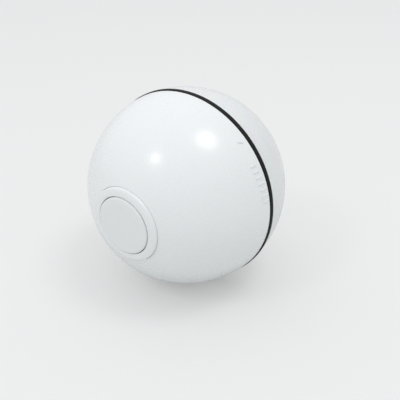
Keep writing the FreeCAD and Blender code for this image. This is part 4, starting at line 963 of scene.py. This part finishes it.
@dataclass
class TurningCore(SubAssembly):
    """Weighted core with the motor, cell, boards and lamps. Sizes and places are in millimetres."""

    board_back: float = 19.2
    board_front: float = 18.0
    lamp_circle: float = 12.0
    lamp_angles: tuple[float, ...] = (-150.0, -90.0, -30.0)
    post_circle: float = 17.0
    post_angles: tuple[float, ...] = (90.0, 25.0, 155.0)
    motor_spot: Spot = (8.678, -10.342)
    cell_spot: Spot = (-8.678, -10.342)
    cell_end: float = 16.0
    tab_offset: float = 3.6
    tab_end: float = 14.6
    chip_half: float = 3.5
    pins_a_side: int = 8
    pin_pitch: float = 0.75
    socket_height: float = 9.0
    wire_radius: float = 0.42
    crystal_spot: Spot = (-7.4, 2.6)

    def chip_pins(self) -> Piece:
        """Model one gull-wing pin and copy it round the control chip."""
        pin = block(PIN, (0.0, self.board_back + PIN_RISE, self.chip_half + PIN_REACH), 0.02, 1)
        for step in PIN_BENDS:
            select_where(pin, "FACE", lambda face: face.normal.z > 0.9)
            bpy.ops.mesh.extrude_region_move(TRANSFORM_OT_translate={"value": Vector(step) * MM})
            bpy.ops.object.mode_set(mode="OBJECT")
        places = []
        for side in range(4):
            for number in range(self.pins_a_side):
                along = (number - (self.pins_a_side - 1) / 2) * self.pin_pitch
                places.append(Matrix.Rotation(math.radians(90.0 * side), 4, "Y") @ shift(along, 0.0, 0.0))
        return copies(pin, places)

    def chip_parts(self, size: Point, spots: list[Placing], end: float) -> tuple[Piece, Piece]:
        """Model small board parts with tinned ends.

        Args:
            size: Length, height off the board and width of one part.
            spots: X, Z and turn in degrees of each.
            end: Length of a tinned end.

        Returns:
            The bodies as one object and their ends as another.
        """
        length, height, width = size
        middle = self.board_back + height / 2 + END_PROUD
        places = [shift(x, middle, z) @ Matrix.Rotation(math.radians(turn), 4, "Y") for x, z, turn in spots]
        body = copies(block((length - 2 * end, height, width), MIDDLE, 0.05, 1), places)
        tinned = (end, height + 2 * END_PROUD, width + 2 * END_PROUD)
        ends = joined([block(tinned, (side * (length - end) / 2, 0.0, 0.0), 0.07) for side in (-1, 1)])
        return body, copies(ends, places)

    def crystal(self) -> Piece:
        """Model the metal can of the timing crystal, with its rolled foot."""
        x, z = self.crystal_spot
        can = block(CRYSTAL_CAN, (x, self.board_back + 1.0, z), 0.75, 5)
        foot = block(CRYSTAL_FOOT, (x, self.board_back + 0.15, z), 0.1)
        return joined([can, foot])

    def lamp_insides(self) -> tuple[Piece, Piece]:
        """Model the cup, post and light-giving face inside each lamp."""
        spots = [on_circle(self.lamp_circle, angle) for angle in self.lamp_angles]
        places = [shift(x, 0.0, z) for x, z in spots]
        cup = turned(LAMP_CUP, LAMP_CUP_SPOT, 24, forward=False)
        post = block(LAMP_POST, LAMP_POST_MIDDLE, 0.06)
        face = turned(LAMP_FACE, LAMP_CUP_SPOT, 24, forward=False)
        return copies(joined([cup, post]), places), copies(face, places)

    def board_screw_set(self) -> Piece:
        """Model the screws that hold the main board."""
        return joined([cross_screw(on_circle(self.post_circle, angle), self.board_back, 1.2)
                       for angle in self.post_angles])

    def socket_tongue(self) -> Piece:
        """Model the black sleeve of the socket's tongue."""
        return block(TONGUE_SLEEVE, (0.0, 21.9, self.socket_height), 0.06)

    def socket_contacts(self) -> Piece:
        """Model the plated contacts on both sides of the socket's tongue."""
        places = [shift(x, 0.0, side * CONTACT_RISE) for x in CONTACT_OFFSETS for side in (-1, 1)]
        return copies(block(CONTACT, (0.0, 22.0, self.socket_height), 0.02, 1), places)

    def cell_ends(self) -> tuple[Piece, Piece]:
        """Model the insulating washer and the welded strip at the cell's raised end."""
        x, z = self.cell_spot
        washer = turned(CELL_WASHER, self.cell_spot, 64, closed=True, forward=False)
        strip = block(CELL_STRIP, (x, self.cell_end + 0.78, z + 1.6), 0.05, 2)
        dimples = [turned(CELL_DIMPLE, (x + side * 0.5, z), 16, forward=False) for side in (-1, 1)]
        return washer, joined([strip, *dimples])

    def motor_details(self) -> tuple[Piece, Piece]:
        """Model the bearing cup on the motor's cap and the crimps that hold the cap in its can."""
        x, z = self.motor_spot
        bearing = turned(MOTOR_BEARING, self.motor_spot, 48, forward=False)
        crimp = block(CRIMP, CRIMP_MIDDLE, 0.18, 3)
        places = [shift(x, 0.0, z) @ Matrix.Rotation(math.radians(angle), 4, "Y") for angle in CRIMP_ANGLES]
        return bearing, copies(crimp, places)

    def wire_lines(self) -> dict[str, tuple[Finish, list[Point]]]:
        """Give the sleeve and the bends of each lead, from its joint to the main board."""
        x, z = self.motor_spot
        cx, cz = self.cell_spot
        tab, start, end = self.tab_offset, self.tab_end, self.board_front - 0.1
        return {
            "motor_lead_red": (WIRE_RED, [
                (x - tab, start, z), (x - 3.9, 16.2, z + 0.6), (x - 4.6, 16.6, z + 2.6),
                (x - 5.0, end, z + 3.6)]),
            "motor_lead_black": (WIRE_BLACK, [
                (x + tab, start, z), (x + 3.6, 16.3, z + 0.8), (x + 2.4, 16.6, z + 3.0),
                (x + 1.8, end, z + 4.4)]),
            "cell_lead_red": (WIRE_RED, [
                (cx, 16.95, cz + 4.4), (cx + 0.6, 17.1, cz + 6.0), (cx + 1.8, 17.0, cz + 7.4),
                (cx + 2.4, end, cz + 8.2)]),
            "cell_lead_black": (WIRE_BLACK, [
                (cx + 5.2, -2.0, cz + 5.6), (cx + 5.6, 4.0, cz + 5.9), (cx + 5.3, 10.0, cz + 5.8),
                (cx + 5.8, 15.0, cz + 6.6), (cx + 6.6, end, cz + 7.2)]),
            "switch_lead_yellow": (WIRE_YELLOW, [
                (-1.6, 4.5, -1.2), (-1.9, 6.6, -1.0), (-2.6, 12.0, 0.4), (-2.2, end, 1.6)]),
            "switch_lead_black": (WIRE_BLACK, [
                (1.6, 4.5, -1.2), (2.1, 6.8, -1.1), (2.9, 11.6, 0.6), (2.3, end, 1.6)]),
        }

    def solder_joints(self) -> Piece:
        """Model the solder on the back of the main board."""
        return joined([solder_blob((x, self.board_back, z), SOLDER_RADIUS) for x, z in SOLDER_SPOTS])

    def build(self) -> None:
        """Build the small parts, wires and joints of the core."""
        resistors, resistor_ends = self.chip_parts(RESISTOR, RESISTORS, RESISTOR_END)
        capacitors, capacitor_ends = self.chip_parts(CAPACITOR, CAPACITORS, CAPACITOR_END)
        cups, faces = self.lamp_insides()
        washer, strip = self.cell_ends()
        bearing, crimps = self.motor_details()
        for name, finish, piece in (
                ("chip_pins", SOLDER, self.chip_pins()),
                ("resistor_bodies", CAP_DARK, resistors), ("resistor_ends", SOLDER, resistor_ends),
                ("capacitor_bodies", CERAMIC_TAN, capacitors), ("capacitor_ends", SOLDER, capacitor_ends),
                ("timing_crystal", CAN_STEEL, self.crystal()),
                ("lamp_cups", SOLDER, cups), ("lamp_faces", PHOSPHOR, faces),
                ("socket_tongue_sleeve", CAP_DARK, self.socket_tongue()),
                ("socket_contacts", GOLD_PLATE, self.socket_contacts()),
                ("cell_washer", INSULATOR_WHITE, washer), ("cell_strip", SOLDER, strip),
                ("motor_bearing", BRASS, bearing), ("motor_crimps", CAN_STEEL, crimps),
                ("solder_joints", SOLDER, self.solder_joints())):
            add_piece(piece, name, finish, self.body)
        for name, (sleeve, line) in self.wire_lines().items():
            add_piece(wire(line, self.wire_radius), name, sleeve, self.body)
        screws = add_piece(self.board_screw_set(), "board_screw_set", SCREW_STEEL, self.body)
        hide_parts("board_screws")


@dataclass
class GearWheel(SubAssembly):
    """One turning gear, with its shaft where it has one."""


@dataclass
class SwitchPlunger(SubAssembly):
    """Plunger of the press switch, which the button's rod pushes."""


# Studio

@dataclass
class Studio:
    """Plain floor, soft lamps and the camera at the photograph's angle."""

    azimuth: float = 35.8
    elevation: float = 29.5
    distance: float = 0.20944
    shift_right: float = 0.004374
    shift_up: float = -0.004806
    lens: float = 57.6
    floor_size: float = 8.0
    floor_roughness: float = 0.7
    floor_shine: float = 0.1
    backdrop: Colour = (0.818, 0.822, 0.817)
    bounce: Colour = (0.72, 0.725, 0.72)
    sky: Colour = (0.965, 0.985, 1.0)
    plain_share: float = 0.32
    world_bright: float = 1.02
    world_dim: float = 0.5
    bright_side: Vector = field(default_factory=lambda: Vector((-0.42, -0.1, 0.9)))
    lamps: dict[str, tuple[Vector, float, float]] = field(default_factory=lambda: {
        "key": (Vector((-0.179, -0.642, 0.745)), 0.12, 0.34),
        "top": (Vector((0.363, 0.077, 0.929)), 0.26, 0.75),
    })
    lamp_distance: float = 0.7

    def axes(self) -> tuple[Vector, Vector, Vector]:
        """Give the camera's right, up and backward directions."""
        turn = math.radians(self.azimuth)
        rise = math.radians(self.elevation)
        right = Vector((math.cos(turn), math.sin(turn), 0.0))
        back = Vector((math.sin(turn) * math.cos(rise), -math.cos(turn) * math.cos(rise), math.sin(rise)))
        return right, back.cross(right), back

    def build_camera(self) -> None:
        """Place the camera."""
        right, up, back = self.axes()
        data = bpy.data.cameras.new("photo_camera")
        data.lens = self.lens
        data.clip_start = 0.01
        camera = bpy.data.objects.new("photo_camera", data)
        bpy.context.scene.collection.objects.link(camera)
        place = right * self.shift_right + up * self.shift_up + back * self.distance
        camera.matrix_world = Matrix.Translation(place) @ Matrix((right, up, back)).transposed().to_4x4()
        bpy.context.scene.camera = camera

    def build_lamps(self) -> None:
        """Place the two soft lamps, facing the ball."""
        for name, (direction, size, power) in self.lamps.items():
            data = bpy.data.lights.new(name, "AREA")
            data.shape = "DISK"
            data.size = size
            data.energy = power
            lamp = bpy.data.objects.new(name, data)
            bpy.context.scene.collection.objects.link(lamp)
            lamp.location = direction.normalized() * self.lamp_distance
            lamp.rotation_euler = direction.to_track_quat("Z", "Y").to_euler()

    def build_world(self) -> None:
        """Set the world: light that is stronger from one side, and a pale backdrop where the camera looks."""
        world = bpy.data.worlds.new("studio")
        bpy.context.scene.world = world
        wiring = emptied(world)
        path = wiring.add("ShaderNodeLightPath")
        way = wiring.add("ShaderNodeTexCoord").outputs["Generated"]
        facing = wiring.add("ShaderNodeVectorMath", {0: way, 1: self.bright_side.normalized()},
                            operation="DOT_PRODUCT").outputs["Value"]
        strength = wiring.remap(facing, -1.0, 1.0, self.world_dim, self.world_bright)
        light = wiring.add("ShaderNodeBackground", {"Color": rgba(self.sky), "Strength": strength})
        seen = wiring.add("ShaderNodeBackground", {"Color": rgba(self.backdrop), "Strength": 1.0})
        shown = wiring.maths("MAXIMUM", path.outputs["Is Camera Ray"], path.outputs["Is Transmission Ray"])
        mixed = wiring.add("ShaderNodeMixShader", {0: shown, 1: light.outputs[0], 2: seen.outputs[0]})
        wiring.add("ShaderNodeOutputWorld", {"Surface": mixed.outputs[0]})

    def build_floor(self) -> None:
        """Lay the floor just under the ball."""
        start_clean()
        bpy.ops.mesh.primitive_plane_add(size=self.floor_size, location=(0.0, 0.0, -FLOOR_DROP))
        floor = bpy.context.object
        floor.name = "studio_floor"
        made = bpy.data.materials.new("Studio floor")
        wiring = emptied(made)
        path = wiring.add("ShaderNodeLightPath")
        colour = wiring.blend(path.outputs["Is Camera Ray"], rgba(self.bounce), rgba(self.backdrop))
        lit = wiring.add("ShaderNodeBsdfPrincipled", {
            "Base Color": colour, "Roughness": self.floor_roughness, "Specular IOR Level": self.floor_shine})
        plain = wiring.add("ShaderNodeEmission", {"Color": rgba(self.backdrop), "Strength": 1.0})
        share = wiring.maths("MULTIPLY", path.outputs["Is Camera Ray"], self.plain_share)
        mixed = wiring.add("ShaderNodeMixShader", {0: share, 1: lit.outputs[0], 2: plain.outputs[0]})
        wiring.add("ShaderNodeOutputMaterial", {"Surface": mixed.outputs[0]})
        floor.data.materials.append(made)
        floor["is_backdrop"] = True

    def build(self) -> None:
        """Build the whole studio."""
        self.build_camera()
        self.build_lamps()
        self.build_world()
        self.build_floor()
        bpy.context.scene.view_settings.view_transform = "Standard"
        LOG.info("studio built")


def assemblies() -> Iterable[SubAssembly]:
    """Give the sub-assemblies, from the outside of the ball inwards."""
    yield FrontHalf("front_half", {
        "front_shell": SHELL_WHITE, "button_bezel": RING_WHITE, "ring_gear": GEAR_NATURAL, "hub_clip": STEEL})
    yield PressButton("button", {
        "power_button": BUTTON_WHITE, "push_rod": GEAR_NATURAL, "return_boot": BOOT_RUBBER})
    yield LockBand("lock_band", {"seam_band": BAND_BLACK})
    yield MilkyDome("clear_half", {"rear_dome": DOME_MILKY})
    yield TurningCore("core", {
        "core_frame": FRAME_DARK, "gear_cover": FRAME_DARK, "spin_bush": BRASS, "motor_can": CAN_STEEL,
        "motor_cap": CAP_DARK, "motor_tabs": BRASS, "battery": CELL_WRAP, "counterweight": STEEL,
        "weight_screws": SCREW_STEEL, "cover_screws": SCREW_STEEL, "circuit_board": BOARD_GREEN,
        "board_screws": SCREW_STEEL, "charging_socket": CAN_STEEL, "lamps": LAMP_CLEAR,
        "control_chip": CAP_DARK, "switch_board": BOARD_GREEN, "press_switch": CAP_DARK, "gear_pins": STEEL})
    yield GearWheel("motor_rotor", {"motor_shaft": STEEL, "motor_pinion": BRASS})
    yield GearWheel("idler", {"idler_gear": GEAR_NATURAL})
    yield GearWheel("final", {"final_gear": GEAR_NATURAL})
    yield SwitchPlunger("plunger", {"switch_plunger": BUTTON_WHITE})


def write_sizes() -> None:
    """Log the CAD model's box and the dressed model's box."""
    boxes = {"cad": CAD_BOX, "visual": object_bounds()}
    plain = {name: [[float(value) for value in corner] for corner in box] for name, box in boxes.items()}
    LOG.info("sizes %s", plain)


def main() -> None:
    """Build and dress the sub-assemblies, then the studio."""
    for assembly in assemblies():
        assembly.dress_nodes()
        assembly.build()
    Studio().build()
    write_sizes()


if __name__ == "__main__":
    main()
